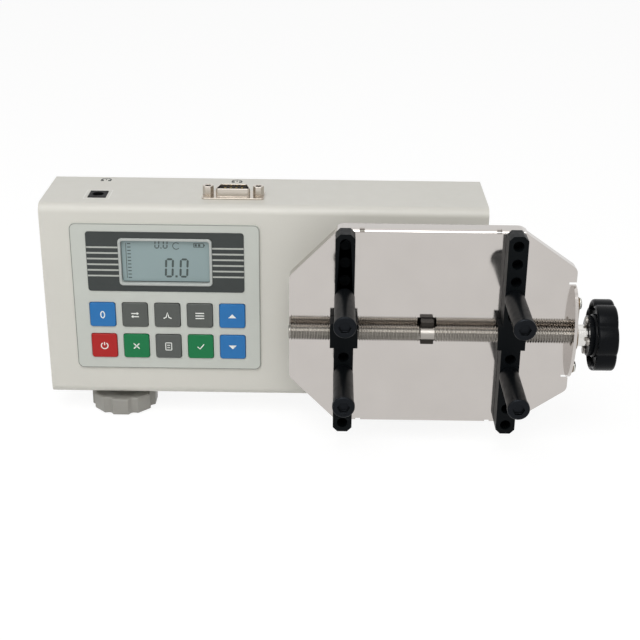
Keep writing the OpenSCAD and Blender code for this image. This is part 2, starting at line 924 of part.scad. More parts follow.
module bearing_balls() {
    color("#d7d9db") at_axis()
        for (i = [0 : ball_count - 1])
            rotate([0, i * 360 / ball_count, 0])
                translate([race_mid_d / 2, sheet_t + mount_t / 2, 0]) sphere(d = ball_d);
}

module at_weld_studs() {
    for (i = [0 : 3])
        rotate([0, 45 + i * 90, 0]) translate([weld_stud_r, 0, 0]) children();
}

module spindle() {
    journal_d = bearing_bore - 2 * seat_play;
    color("#a9abad") at_axis() difference() {
        union() {
            rod_y(spindle_flange_d, plate_back, spindle_flange_back);
            rod_y(spindle_d, spindle_flange_back, sheet_t);
            rod_y(journal_d, sheet_t, mount_back);
            rod_y(tail_d, mount_back, tail_end);
        }
        at_weld_studs()
            rod_y(weld_stud_d + 2 * cover_play, plate_back - over, spindle_flange_back + over);
        slab_y(plate_back - over, plate_back + saddle_foot_t)
            square([saddle_foot_w + 2 * seat_play, saddle_foot_h + 2 * seat_play], center = true);
    }
}

// Torque plate

// The eight corners of the plate, seen from the front.
function plate_corners() = [
    [-plate_left, plate_h / 2 - left_chamfer_h],
    [-plate_left + left_chamfer_w, plate_h / 2],
    [plate_right - right_chamfer_w, plate_h / 2],
    [plate_right, plate_h / 2 - right_chamfer_h],
    [plate_right, -plate_h / 2 + right_chamfer_h],
    [plate_right - right_chamfer_w, -plate_h / 2],
    [-plate_left + left_chamfer_w, -plate_h / 2],
    [-plate_left, -plate_h / 2 + left_chamfer_h]
];

// Points that round the corner at b, on the way from a to c.
function round_corner(a, b, c, r) =
    let (u = b + r * (a - b) / norm(a - b), v = b + r * (c - b) / norm(c - b))
    [for (t = [0 : 1 / 4 : 1]) (1 - t) * (1 - t) * u + 2 * t * (1 - t) * b + t * t * v];

function plate_points() =
    let (p = plate_corners(), n = len(p))
    [for (i = [0 : n - 1])
        each round_corner(p[(i + n - 1) % n], p[i], p[(i + 1) % n], plate_corner_r)];

// Inner face of the flange along an upper chamfer, from the plate's side to above its top.
function chamfer_line(side, w, h) =
    let (z = plate_h / 2 - h - plate_t * norm([w, h]) / w)
    [[side + sign(side) * over, z], [side, z], [side - sign(side) * 2 * w, z + 2 * h]];

// Outline of the space between the flanges along the four chamfers.
function plate_inside() =
    let (
        a = chamfer_line(plate_right, right_chamfer_w, right_chamfer_h),
        b = chamfer_line(-plate_left, left_chamfer_w, left_chamfer_h),
        up = [a[0], a[1], a[2], b[2], b[1], b[0]]
    )
    concat(up, [for (i = [len(up) - 1 : -1 : 0]) [up[i][0], -up[i][1]]]);

// Depth and height of the block that the folded plate fills.
module plate_envelope() {
    r = flange_bend_r;
    translate([plate_front, -plate_h / 2]) {
        translate([r, 0]) square([flange_d - r, plate_h]);
        translate([0, r]) square([flange_d, plate_h - 2 * r]);
        for (z = [r, plate_h - r]) translate([r, z]) circle(r);
    }
}

// Depth and height of the space between the upper and the lower flange.
module plate_pocket() {
    r = flange_bend_r;
    ri = r - plate_t;
    d = flange_d;
    h = plate_h;
    translate([plate_front, -h / 2]) {
        translate([plate_t, plate_t + ri]) square([d, h - 2 * (plate_t + ri)]);
        translate([plate_t + ri, plate_t]) square([d, h - 2 * plate_t]);
        for (z = [r, h - r]) translate([r, z]) circle(ri);
    }
}

// The half-round ear that carries the screw, in depth and height.
module ear_outline(reach, h) {
    polygon(concat(
        [for (a = [-90 : 7.5 : 90]) [-reach * cos(a), h / 2 * sin(a)]],
        [[plate_t, h / 2], [plate_t, -h / 2]]
    ));
}

module torque_plate() {
    color("#c9c5c1") at_axis() {
        difference() {
            intersection() {
                slab_x(-plate_left, plate_right) plate_envelope();
                slab_y(plate_front - over, plate_front + flange_d + over)
                    polygon(plate_points());
            }
            intersection() {
                slab_x(-plate_left - over, plate_right + over) plate_pocket();
                union() {
                    slab_y(plate_front, plate_front + flange_d + 2 * over)
                        polygon(plate_inside());
                    slab_y(plate_front + chamfer_flange_d, plate_front + flange_d + 2 * over)
                        square([2 * (plate_left + plate_right), 2 * plate_h], center = true);
                }
            }
            slab_y(plate_front - over, plate_back + over)
                square([cutout_w, cutout_h], center = true);
            for (sx = [-1, 1], sz = [-1, 1])
                translate([sx * notch_x, 0, sz * plate_h / 2])
                    slab_y(plate_front - over, plate_front + flange_bend_r + over)
                        square([notch_w, 2 * notch_h], center = true);
            for (sz = [-1, 1])
                translate([plate_right, 0, sz * (ear_h + notch_h) / 2])
                    slab_y(plate_front - over, plate_back + over)
                        square([2 * ear_notch_w, notch_h], center = true);
        }
        difference() {
            translate([0, plate_front, 0]) slab_x(ear_inside, plate_right)
                ear_outline(ear_reach, ear_h);
            translate([0, screw_y, 0]) {
                rod_x(bush_d + 2 * seat_play, ear_inside - over, plate_right + over);
                at_ear_screws() rod_x(ear_screw_d + 2 * seat_play, ear_inside - over,
                    plate_right + over);
            }
        }
        at_weld_studs() rod_y(weld_stud_d, plate_back, plate_back + weld_stud_l);
    }
}

module plate_nuts() {
    color("#b9b7b2") at_axis() at_weld_studs()
        translate([0, spindle_flange_back, 0]) rotate([-90, 0, 0]) difference() {
            hex_rod(nut_w, nut_t);
            translate([0, 0, -over]) cylinder(d = weld_stud_d + 2 * seat_play, h = nut_t + 2 * over);
        }
}

// The fork behind the screw's neck: it takes the thrust, and its foot is held behind the plate.
module screw_saddle() {
    color("#a3a19c") at_axis() difference() {
        union() {
            slab_y(plate_back + seat_play, plate_back + saddle_foot_t - seat_play)
                square([saddle_foot_w, saddle_foot_h], center = true);
            slab_y(screw_y, plate_back + over) square([saddle_w, saddle_h], center = true);
        }
        translate([0, screw_y, 0])
            rod_x(neck_d + 2 * running_play, -saddle_w, saddle_w);
    }
}

module at_ear_screws() {
    for (s = [-1, 1]) translate([0, 0, s * bush_tab_screw]) children();
}

// The flanged bush in the ear. Its two tabs take the ear's screws.
module ear_bush() {
    color("#4c463c") at_axis() translate([0, screw_y, 0]) difference() {
        union() {
            rod_x(bush_d, ear_inside, plate_right);
            slab_x(plate_right, plate_right + bush_flange_t) {
                circle(d = bush_flange_d);
                square([bush_tab_w, 2 * bush_tab_screw], center = true);
                for (s = [-1, 1]) translate([0, s * bush_tab_screw]) circle(d = bush_tab_w);
            }
        }
        rod_x(screw_d + 2 * running_play, ear_inside - over, plate_right + bush_flange_t + over);
        at_ear_screws() rod_x(ear_screw_d + 2 * seat_play, ear_inside - over,
            plate_right + bush_flange_t + over);
    }
}

module ear_screws() {
    color("#8f8d89") at_axis() translate([plate_right + bush_flange_t, screw_y, 0])
        at_ear_screws() {
            rotate([0, 90, 0]) pan_head(ear_screw_head_d, ear_screw_head_t, ear_screw_head_r);
            rod_x(ear_screw_d, -ear_screw_l, 0);
        }
}

// Lead screw and knob

module lead_screw() {
    left = -plate_left;
    color("#b7b5b1") at_axis() translate([0, screw_y, 0]) {
        translate([left, 0, 0]) rotate([0, 90, 0])
            cylinder(d1 = screw_d - 2 * screw_chamfer, d2 = screw_d, h = screw_chamfer);
        rod_x(screw_d, left + screw_chamfer, -neck_l / 2);
        rod_x(neck_d, -neck_l / 2, neck_l / 2);
        rod_x(screw_d, neck_l / 2, screw_end);
    }
}

module knob_collar() {
    color("#d2d0cc") at_axis() translate([0, screw_y, 0]) difference() {
        rod_x(collar_d, collar_start, knob_flange_start);
        rod_x(screw_d + 2 * seat_play, collar_start - over, knob_flange_start + over);
    }
}

module at_knob_screws() {
    for (i = [0 : knob_screw_count - 1])
        rotate([i * 360 / knob_screw_count, 0, 0])
            translate([0, 0, knob_screw_ring_d / 2]) children();
}

module knob_flange() {
    color("#191b1d") at_axis() translate([0, screw_y, 0]) difference() {
        rod_x(knob_flange_d, knob_flange_start, knob_start);
        rod_x(screw_d + 2 * seat_play, knob_flange_start - over, knob_start + over);
        at_knob_screws() rod_x(knob_screw_d + 2 * seat_play, knob_flange_start - over,
            knob_start + over);
    }
}

module knob_screws() {
    color("#2b2d30") at_axis() translate([0, screw_y, 0]) at_knob_screws() {
        rod_x(knob_head_d, knob_flange_start - knob_head_t, knob_flange_start);
        rod_x(knob_screw_d, knob_flange_start, knob_flange_start + knob_screw_l);
    }
}

module knob() {
    color("#1b2023") at_axis() translate([knob_start, screw_y, 0]) difference() {
        rotate([0, 90, 0])
            lobed_wheel(knob_d, knob_t, knob_lobes, knob_body_share, knob_lobe_share, knob_edge_r);
        rod_x(screw_d + 2 * seat_play, -over, knob_bore_l);
        rod_x(knob_d * knob_dish_share, knob_t - knob_dish_t, knob_t + over);
        at_knob_screws() rod_x(knob_screw_d + 2 * seat_play, -over,
            knob_screw_l - knob_flange_t + over / 2);
    }
}

// Jaws

module bar_outline() {
    w = bar_w / 2;
    h = bar_l / 2;
    c = bar_chamfer;
    polygon([
        [-w, -h + c], [-w + c, -h], [w - c, -h], [w, -h + c],
        [w, h - c], [w - c, h], [-w + c, h], [-w, h - c]
    ]);
    square([block_w, block_h], center = true);
}

// A jaw bar with its nut block, at its side of the torque axis.
module jaw_bar(side) {
    at_axis() translate([side * jaw_half, 0, 0]) difference() {
        slab_y(bar_front, bar_back) bar_outline();
        translate([0, screw_y, 0])
            rod_x(screw_d + 2 * running_play, -block_w, block_w);
        for (s = [-1, 1], i = [0 : bar_holes - 1])
            translate([0, 0, s * (hole_first + i * hole_step)])
                rod_y(hole_d, bar_front - over, bar_front + hole_depth);
    }
}

module at_posts(side) {
    at_axis() translate([side * jaw_half, 0, 0])
        for (s = [-1, 1]) translate([0, 0, s * (hole_first + post_hole * hole_step)]) children();
}

module jaw_posts(side) {
    at_posts(side) difference() {
        rod_y(post_d, post_tip, bar_front);
        rod_y(post_screw_d + 2 * seat_play, post_tip - over, bar_front + over);
    }
}

// The cap screws that hold a jaw's two sleeves to its bar.
module jaw_post_screws(side) {
    at_posts(side) {
        difference() {
            translate([0, post_tip, 0]) rotate([90, 0, 0])
                pan_head(post_head_d, post_head_t, post_head_r);
            translate([0, front_end - over, 0]) rotate([-90, 0, 0])
                hex_rod(post_socket_w, post_socket_l + over);
        }
        rod_y(post_screw_d, post_tip, bar_front + hole_depth - over);
    }
}

module left_jaw_bar() { color("#1a1e21") jaw_bar(-1); }
module right_jaw_bar() { color("#1a1e21") jaw_bar(1); }
module left_posts() { color("#202427") jaw_posts(-1); }
module right_posts() { color("#202427") jaw_posts(1); }
module left_post_screws() { color("#17191b") jaw_post_screws(-1); }
module right_post_screws() { color("#17191b") jaw_post_screws(1); }

// Feet

module foot_inserts() {
    color("#b9b7b2") at_origin()
        for (x = foot_xs) translate([x, foot_y, sheet_t]) difference() {
            cylinder(d = insert_d, h = insert_h);
            translate([0, 0, -over])
                cylinder(d = stud_d + 2 * running_play, h = insert_h + 2 * over);
        }
}

module foot_pad(x) {
    at_origin() translate([x, foot_y, foot_bottom - pad_proud]) cylinder(d = pad_d, h = pad_t);
}

module foot_knob(x) {
    pocket = pad_t - pad_proud + seat_play;
    at_origin() translate([x, foot_y, foot_bottom]) difference() {
        rotate(-90) lobed_wheel(foot_d, foot_t, foot_lobes, foot_body_share, foot_lobe_share,
            foot_edge_r);
        translate([0, 0, -over]) cylinder(d = pad_d + 2 * pad_play, h = pocket + over);
        translate([0, 0, stud_bottom - foot_bottom])
            cylinder(d = stud_d + 2 * seat_play, h = foot_t);
    }
}

module foot_stud(x) {
    at_origin() translate([x, foot_y, stud_bottom])
        cylinder(d = stud_d, h = stud_top - stud_bottom);
}

module left_foot_pad() { color("#3c3c3c") foot_pad(foot_xs[0]); }
module right_foot_pad() { color("#3c3c3c") foot_pad(foot_xs[1]); }
module left_foot_knob() { color("#a09f99") foot_knob(foot_xs[0]); }
module right_foot_knob() { color("#a09f99") foot_knob(foot_xs[1]); }
module left_foot_stud() { color("#b9b7b2") foot_stud(foot_xs[0]); }
module right_foot_stud() { color("#b9b7b2") foot_stud(foot_xs[1]); }

front_shell();
rear_cover();
cover_screws();
keypad_panel();
display_surround();
window_frame();
lcd_glass();
lcd_module();
display_board();
key_switches();
board_spacers();
board_screws();
key_zero();
key_unit();
key_peak();
key_memory();
key_up();
key_power();
key_clear();
key_print();
key_set();
key_down();
battery_cells();
battery_tray();
power_socket();
serial_shell();
serial_insert();
serial_jackscrews();
sensor_mount();
sensor_bridge();
sensor_screws();
torque_cell();
bearing_outer_ring();
bearing_inner_ring();
bearing_balls();
spindle();
torque_plate();
plate_nuts();
screw_saddle();
ear_bush();
ear_screws();
lead_screw();
knob_collar();
knob_flange();
knob_screws();
knob();
left_jaw_bar();
right_jaw_bar();
left_posts();
right_posts();
left_post_screws();
right_post_screws();
foot_inserts();
left_foot_pad();
left_foot_knob();
left_foot_stud();
right_foot_pad();
right_foot_knob();
right_foot_stud();
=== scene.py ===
"""Looks of an upright bench torque tester.

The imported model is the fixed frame. This script dresses its parts, eases their edges, cuts the
threads, prints the marks, and sets the floor, the lights and the camera round them.
"""

import json
import logging
import math
from dataclasses import dataclass
from enum import Enum
from typing import Iterable, Sequence

import bmesh
import bpy
from mathutils import Matrix, Vector

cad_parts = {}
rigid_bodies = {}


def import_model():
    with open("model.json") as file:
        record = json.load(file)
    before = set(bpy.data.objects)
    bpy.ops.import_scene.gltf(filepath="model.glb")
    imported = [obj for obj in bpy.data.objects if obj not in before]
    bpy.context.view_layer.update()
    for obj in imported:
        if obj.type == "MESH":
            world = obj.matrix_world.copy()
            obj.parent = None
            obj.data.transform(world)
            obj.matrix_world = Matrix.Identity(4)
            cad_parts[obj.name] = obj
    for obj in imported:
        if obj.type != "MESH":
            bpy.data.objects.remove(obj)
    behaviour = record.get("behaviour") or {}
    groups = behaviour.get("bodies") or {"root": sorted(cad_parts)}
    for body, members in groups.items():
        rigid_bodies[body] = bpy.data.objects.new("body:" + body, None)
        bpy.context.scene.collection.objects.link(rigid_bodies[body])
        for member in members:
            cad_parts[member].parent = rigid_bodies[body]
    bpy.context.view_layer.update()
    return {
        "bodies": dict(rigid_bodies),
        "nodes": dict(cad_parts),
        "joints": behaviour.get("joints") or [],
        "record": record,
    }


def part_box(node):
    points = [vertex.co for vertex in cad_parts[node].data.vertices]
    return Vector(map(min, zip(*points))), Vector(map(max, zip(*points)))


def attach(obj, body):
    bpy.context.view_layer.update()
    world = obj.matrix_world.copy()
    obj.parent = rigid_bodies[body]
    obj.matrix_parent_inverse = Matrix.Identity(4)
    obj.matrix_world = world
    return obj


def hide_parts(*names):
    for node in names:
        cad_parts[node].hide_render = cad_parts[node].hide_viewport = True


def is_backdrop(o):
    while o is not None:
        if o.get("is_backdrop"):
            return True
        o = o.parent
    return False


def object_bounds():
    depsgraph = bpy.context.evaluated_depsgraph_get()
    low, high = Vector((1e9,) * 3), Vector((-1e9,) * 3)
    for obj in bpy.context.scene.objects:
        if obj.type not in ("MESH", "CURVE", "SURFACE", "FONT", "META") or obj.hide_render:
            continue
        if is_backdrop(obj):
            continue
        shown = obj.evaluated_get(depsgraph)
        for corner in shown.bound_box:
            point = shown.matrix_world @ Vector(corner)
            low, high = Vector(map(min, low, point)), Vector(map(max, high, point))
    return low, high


LOG = logging.getLogger("torque_tester")
MM = 0.001
# The mix node's sockets when it mixes colours
MIX_FACTOR, MIX_FIRST, MIX_SECOND, MIX_RESULT = 0, 6, 7, 2
WHITE = (1.0, 1.0, 1.0, 1.0)
Colour = tuple[int, int, int]
Point = tuple[float, float]
Outline = list[Point]


def linear(colour: Colour, alpha: float = 1.0) -> tuple[float, float, float, float]:
    """Turns a colour in steps of 0 to 255 into the shader's own values.

    Args:
        colour: red, green and blue as a screen shows them.
        alpha: how much of the surface covers what is behind it.

    Returns:
        The four values of a colour socket.
    """
    parts = []
    for step in colour:
        share = step / 255
        parts.append(share / 12.92 if share <= 0.04045 else ((share + 0.055) / 1.055) ** 2.4)
    return (parts[0], parts[1], parts[2], alpha)


# Node trees


class Graph:
    """A node tree with short ways to add to it."""

    def __init__(self, tree: bpy.types.NodeTree) -> None:
        """Takes up the tree that it adds to."""
        self.tree = tree

    def node(self, kind: str, **settings: object) -> bpy.types.Node:
        """Adds a node and sets its options.

        Args:
            kind: the node's type.
            settings: its options by name.

        Returns:
            The new node.
        """
        made = self.tree.nodes.new(kind)
        for name, value in settings.items():
            setattr(made, name, value)
        return made

    def link(self, source: bpy.types.NodeSocket, target: bpy.types.NodeSocket) -> None:
        """Joins two sockets."""
        self.tree.links.new(source, target)

    def math(self, operation: str, first: object, second: object = 0.0) -> bpy.types.NodeSocket:
        """Adds a sum of two values, each a number or a socket.

        Args:
            operation: the math node's operation.
            first: its first value.
            second: its second value.

        Returns:
            The result's socket.
        """
        made = self.node("ShaderNodeMath", operation=operation)
        for value, target in zip((first, second), made.inputs):
            if isinstance(value, (int, float)):
                target.default_value = value
            else:
                self.link(value, target)
        return made.outputs[0]

    def spread(
        self,
        source: bpy.types.NodeSocket,
        low: float,
        high: float,
        start: float = 0.3,
        end: float = 0.7,
    ) -> bpy.types.NodeSocket:
        """Maps a value from start and end onto low and high.

        Args:
            source: the value to map.
            low: what start becomes.
            high: what end becomes.
            start: the source's low end.
            end: the source's high end.

        Returns:
            The mapped value.
        """
        ranged = self.node("ShaderNodeMapRange")
        for name, value in (
            ("From Min", start), ("From Max", end), ("To Min", low), ("To Max", high)
        ):
            ranged.inputs[name].default_value = value
        self.link(source, ranged.inputs["Value"])
        return ranged.outputs["Result"]

    def unit(self, value: bpy.types.NodeSocket) -> bpy.types.NodeSocket:
        """Keeps a value between 0 and 1."""
        return self.math("MINIMUM", self.math("MAXIMUM", value, 0.0), 1.0)

    def blend(
        self,
        amount: bpy.types.NodeSocket,
        first: bpy.types.Node,
        second: bpy.types.Node,
        end: str,
    ) -> None:
        """Mixes two shaders into the tree's output.

        Args:
            amount: 0 shows the first and 1 the second.
            first: a shader's node.
            second: the other shader's node.
            end: the output node's name.
        """
        mix = self.node("ShaderNodeMixShader")
        for source, target in zip((amount, first.outputs[0], second.outputs[0]), mix.inputs):
            self.link(source, target)
        self.link(mix.outputs[0], self.tree.nodes[end].inputs["Surface"])

    def white_rays(self) -> bpy.types.NodeSocket:
        """Tells the rays that show the white ground: seen, mirrored or through glass.

        Returns:
            1 for those rays and 0 for the rest.
        """
        rays = self.node("ShaderNodeLightPath").outputs
        seen = self.math("MAXIMUM", rays["Is Camera Ray"], rays["Is Glossy Ray"])
        return self.math("MAXIMUM", seen, rays["Is Transmission Ray"])


class Finish(Graph):
    """A new material with short ways to add nodes to it."""

    def __init__(self, name: str) -> None:
        """Starts a material that has only its shader.

        Args:
            name: the material's name.
        """
        self.material = bpy.data.materials.new(name)
        self.material.use_nodes = True
        super().__init__(self.material.node_tree)
        self.shader = self.tree.nodes["Principled BSDF"]

    def fix(self, **values: object) -> None:
        """Sets the shader's own sockets, named with underscores for spaces."""
        for name, value in values.items():
            self.shader.inputs[name.replace("_", " ")].default_value = value

    def wire(self, source: bpy.types.NodeSocket, socket: str) -> None:
        """Joins an output to one of the shader's sockets."""
        self.link(source, self.shader.inputs[socket])

    def place(self, stretch: Sequence[float] = (1.0, 1.0, 1.0)) -> bpy.types.NodeSocket:
        """Gives the object's own coordinates, stretched along its axes.

        Args:
            stretch: how many times finer a pattern runs along each axis.

        Returns:
            The vector output.
        """
        coordinates = self.node("ShaderNodeTexCoord")
        mapping = self.node("ShaderNodeMapping")
        mapping.inputs["Scale"].default_value = stretch
        self.link(coordinates.outputs["Object"], mapping.inputs["Vector"])
        return mapping.outputs["Vector"]

    def grain(
        self,
        size: float,
        detail: float = 3.0,
        stretch: Sequence[float] = (1.0, 1.0, 1.0),
    ) -> bpy.types.NodeSocket:
        """Adds a noise whose grains measure about size.

        Args:
            size: a grain's size in metres.
            detail: how many finer layers lie on it.
            stretch: how many times finer it runs along each axis.

        Returns:
            The noise's value, around one half.
        """
        noise = self.node("ShaderNodeTexNoise")
        noise.inputs["Scale"].default_value = 1 / size
        noise.inputs["Detail"].default_value = detail
        self.link(self.place(stretch), noise.inputs["Vector"])
        return noise.outputs["Fac"]

    def rough(self, source: bpy.types.NodeSocket, low: float, high: float) -> None:
        """Lets the roughness follow a pattern between two values."""
        self.wire(self.spread(source, low, high), "Roughness")

    def tint(self, factor: bpy.types.NodeSocket, colour: Colour, drift: float) -> None:
        """Lets the base colour drift a little lighter and darker.

        Args:
            factor: what drives the drift.
            colour: the middle colour.
            drift: the share by which it gets lighter or darker.
        """
        base = linear(colour)[:3]
        mix = self.node("ShaderNodeMix", data_type="RGBA")
        mix.inputs[MIX_FIRST].default_value = (*(v * (1 - drift) for v in base), 1.0)
        mix.inputs[MIX_SECOND].default_value = (*(min(1.0, v * (1 + drift)) for v in base), 1.0)
        self.link(factor, mix.inputs[MIX_FACTOR])
        self.wire(mix.outputs[MIX_RESULT], "Base Color")

    def relief(self, height: bpy.types.NodeSocket, depth: float) -> None:
        """Bumps the surface by a height.

        Args:
            height: the height's value.
            depth: how high a value of one stands, in metres.
        """
        bump = self.node("ShaderNodeBump")
        bump.inputs["Strength"].default_value = 1.0
        bump.inputs["Distance"].default_value = depth
        self.link(height, bump.inputs["Height"])
        self.wire(bump.outputs["Normal"], "Normal")


@dataclass(frozen=True)
class Look:
    """What every finish has: its name, its middle colour and a way to become a material."""

    name: str
    colour: Colour

    def build(self) -> bpy.types.Material:
        """Makes the material.

        Returns:
            The material with all its nodes.
        """
        finish = Finish(self.name)
        self.dress(finish)
        return finish.material

    def dress(self, finish: Finish) -> None:
        """Adds the finish's own nodes."""
        raise NotImplementedError


@dataclass(frozen=True)
class PowderPaint(Look):
    """A baked powder coat with the fine skin of an orange."""

    roughness: float = 0.42
    grain: float = 0.9 * MM
    depth: float = 0.012 * MM
    drift: float = 0.025
    cloud: float = 38 * MM
    patch: float = 6 * MM

    def dress(self, finish: Finish) -> None:
        """Adds slow clouds in the colour, dull patches and the skin.

        Args:
            finish: the material to add to.
        """
        finish.tint(finish.grain(self.cloud, 4.0), self.colour, self.drift)
        finish.rough(finish.grain(self.patch), self.roughness - 0.05, self.roughness + 0.07)
        finish.relief(finish.grain(self.grain, 1.0), self.depth)
        finish.fix(Specular_IOR_Level=0.45, Coat_Weight=0.12, Coat_Roughness=0.3)


@dataclass(frozen=True)
class SatinFilm(Look):
    """A printed plastic film with a fine even tooth."""

    roughness: float = 0.5
    tooth: float = 0.22 * MM
    depth: float = 0.003 * MM
    drift: float = 0.03
    coat: float = 0.0
    sheen: float = 0.5
    cloud: float = 9 * MM
    patch: float = 3 * MM
    play: float = 0.06

    def dress(self, finish: Finish) -> None:
        """Adds a slight drift of colour, dull patches and the tooth.

        Args:
            finish: the material to add to.
        """
        finish.tint(finish.grain(self.cloud, 4.0), self.colour, self.drift)
        patches = finish.grain(self.patch)
        finish.rough(patches, self.roughness - self.play, self.roughness + self.play)
        finish.relief(finish.grain(self.tooth, 1.0), self.depth)
        finish.fix(Coat_Weight=self.coat, Coat_Roughness=0.12, Specular_IOR_Level=self.sheen)


@dataclass(frozen=True)
class MouldedPlastic(Look):
    """Moulded plastic: a faint flow in its colour and small handling marks."""

    roughness: float = 0.35
    drift: float = 0.05
    grain: float = 0.5 * MM
    depth: float = 0.004 * MM
    coat: float = 0.0
    sheen: float = 0.5
    flow: float = 14 * MM
    mark: float = 2.2 * MM

    def dress(self, finish: Finish) -> None:
        """Adds the flow, the handling marks and the mould's grain.

        Args:
            finish: the material to add to.
        """
        finish.tint(finish.grain(self.flow, 5.0), self.colour, self.drift)
        marks = finish.grain(self.mark, 6.0, (1.0, 1.0, 0.35))
        finish.rough(marks, self.roughness - 0.04, self.roughness + 0.1)
        finish.relief(finish.grain(self.grain, 2.0), self.depth)
        finish.fix(Coat_Weight=self.coat, Coat_Roughness=0.1, Specular_IOR_Level=self.sheen)


@dataclass(frozen=True)
class WorkedMetal(Look):
    """Turned, drawn or polished metal with its tool marks along one axis."""

    roughness: float = 0.25
    stretch: tuple[float, float, float] = (1.0, 1.0, 1.0)
    mark: float = 0.35 * MM
    depth: float = 0.002 * MM
    drift: float = 0.06
    smudge: float = 0.05
    cloud: float = 17 * MM
    hand: float = 24 * MM
    smoothest: float = 0.02

    def dress(self, finish: Finish) -> None:
        """Adds the tool marks, and the broad smudges of handling over them.

        Args:
            finish: the material to add to.
        """
        finish.tint(finish.grain(self.cloud, 5.0), self.colour, self.drift)
        lines = finish.grain(self.mark, 3.0, self.stretch)
        hand = finish.spread(finish.grain(self.hand, 4.0), 0.6, 1.5)
        low = max(self.smoothest, self.roughness - self.smudge)
        rough = finish.spread(lines, low, self.roughness + self.smudge)
        finish.wire(finish.math("MULTIPLY", rough, hand), "Roughness")
        finish.relief(lines, self.depth)
        finish.fix(Metallic=1.0)


@dataclass(frozen=True)
class SoftRubber(Look):
    """Dull rubber with a bloom on its high spots."""

    roughness: float = 0.75
    drift: float = 0.18
    bloom: float = 4 * MM
    patch: float = 1.4 * MM
    grain: float = 0.3 * MM
    depth: float = 0.01 * MM
    play: float = 0.08

    def dress(self, finish: Finish) -> None:
        """Adds the bloom, duller patches and the grain.

        Args:
            finish: the material to add to.
        """
        finish.tint(finish.grain(self.bloom, 6.0), self.colour, self.drift)
        patches = finish.grain(self.patch)
        finish.rough(patches, self.roughness - self.play, self.roughness + self.play)
        finish.relief(finish.grain(self.grain, 2.0), self.depth)


@dataclass(frozen=True)
class ScreenPane(Look):
    """The liquid crystal's grey-green ground under a smooth pane."""

    cell: float = 0.35 * MM
    depth: float = 0.001 * MM
    cloud: float = 26 * MM
    drift: float = 0.06

    def dress(self, finish: Finish) -> None:
        """Adds the uneven ground, its cells and the smooth pane.

        Args:
            finish: the material to add to.
        """
        finish.tint(finish.grain(self.cloud, 2.0), self.colour, self.drift)
        finish.relief(finish.grain(self.cell, 0.0), self.depth)
        finish.fix(Roughness=0.32, Coat_Weight=0.6, Coat_Roughness=0.05, Coat_IOR=1.45)


@dataclass(frozen=True)
class PrintInk(Look):
    """Screen-printed ink: flat, with a thin spot here and there."""

    roughness: float = 0.55
    spot: float = 1.1 * MM
    drift: float = 0.05

    def dress(self, finish: Finish) -> None:
        """Adds the thin spots and one even gloss."""
        finish.tint(finish.grain(self.spot, 4.0), self.colour, self.drift)
        finish.fix(Roughness=self.roughness)


KEY_COLOURS: tuple[tuple[str, Colour], ...] = (
    ("key_blue", (36, 112, 176)),
    ("key_grey", (84, 87, 84)),
    ("key_red", (172, 24, 22)),
    ("key_green", (0, 114, 64)),
)


def finishes() -> dict[str, bpy.types.Material]:
    """Builds every finish once.

    Returns:
        The materials by name.
    """
    kinds = [
        PowderPaint("cream_paint", (211, 209, 201)),
        SatinFilm("panel_grey", (196, 199, 192), 0.46),
        SatinFilm("surround_grey", (58, 62, 61), 0.55, sheen=0.3),
        MouldedPlastic("window_pale", (178, 182, 178), 0.3),
        ScreenPane("screen_ground", (136, 155, 156)),
        *(SatinFilm(name, colour, 0.42, coat=0.08, sheen=0.3) for name, colour in KEY_COLOURS),
        PrintInk("ink_white", (236, 238, 232)),
        PrintInk("ink_dark", (52, 54, 52)),
        PrintInk("segment_dark", (62, 74, 72), 0.4),
        PrintInk("line_grey", (128, 130, 124)),
        # Painted highlight: the lit edge of the sheet's opening round the power socket
        PrintInk("edge_highlight_paint", (232, 231, 226)),
        # Painted shade: the dark of the window recess's inner edges, laid on the pane
        PrintInk("painted_recess_shade", (58, 62, 62), 0.6),
        MouldedPlastic("socket_black", (10, 10, 12), 0.5, sheen=0.12),
        MouldedPlastic("knob_black", (8, 10, 13), 0.24, sheen=0.08),
        MouldedPlastic("foot_grey", (149, 147, 141), 0.42, depth=0.01 * MM),
        MouldedPlastic("tray_black", (28, 28, 30), 0.5),
        MouldedPlastic("cell_blue", (60, 110, 150), 0.3, coat=0.3),
        MouldedPlastic("board_green", (24, 92, 58), 0.35, coat=0.3),
        MouldedPlastic(
            "jaw_black", (11, 14, 16), 0.36, grain=0.9 * MM, depth=0.006 * MM, sheen=0.06
        ),
        MouldedPlastic(
            "post_black", (11, 13, 15), 0.32, grain=0.4 * MM, depth=0.005 * MM, sheen=0.12
        ),
        SoftRubber("sole_rubber", (46, 46, 46)),
        WorkedMetal(
            "plate_polish", (191, 186, 182), 0.085, (0.12, 1.0, 1.6), mark=0.3 * MM,
            depth=0.0004 * MM, drift=0.05, smudge=0.03,
        ),
        WorkedMetal("thread_steel", (152, 148, 142), 0.22, (0.3, 1.0, 1.0), drift=0.12),
        WorkedMetal("neck_steel", (160, 156, 150), 0.42, (0.2, 1.0, 1.0)),
        # Painted shade: the saddle behind the rod is coloured dark for the shade that lies round
        # it
        WorkedMetal("saddle_painted_shade", (52, 49, 46), 0.42, (1.0, 0.3, 1.0)),
        WorkedMetal("turned_steel", (205, 203, 198), 0.22, (1.0, 0.2, 1.0)),
        WorkedMetal("collar_steel", (214, 212, 208), 0.14, (1.0, 0.1, 0.1)),
        WorkedMetal("cell_steel", (170, 172, 174), 0.34, (1.0, 0.15, 1.0)),
        WorkedMetal("zinc_steel", (192, 192, 186), 0.3),
        WorkedMetal("nickel_tin", (196, 188, 178), 0.16),
        WorkedMetal("brass_turned", (190, 160, 88), 0.3, (1.0, 0.2, 1.0)),
        WorkedMetal("bush_bronze", (120, 104, 84), 0.4),
        WorkedMetal("oxide_black", (30, 32, 35), 0.4, drift=0.15),
    ]
    return {kind.name: kind.build() for kind in kinds}


# Meshes


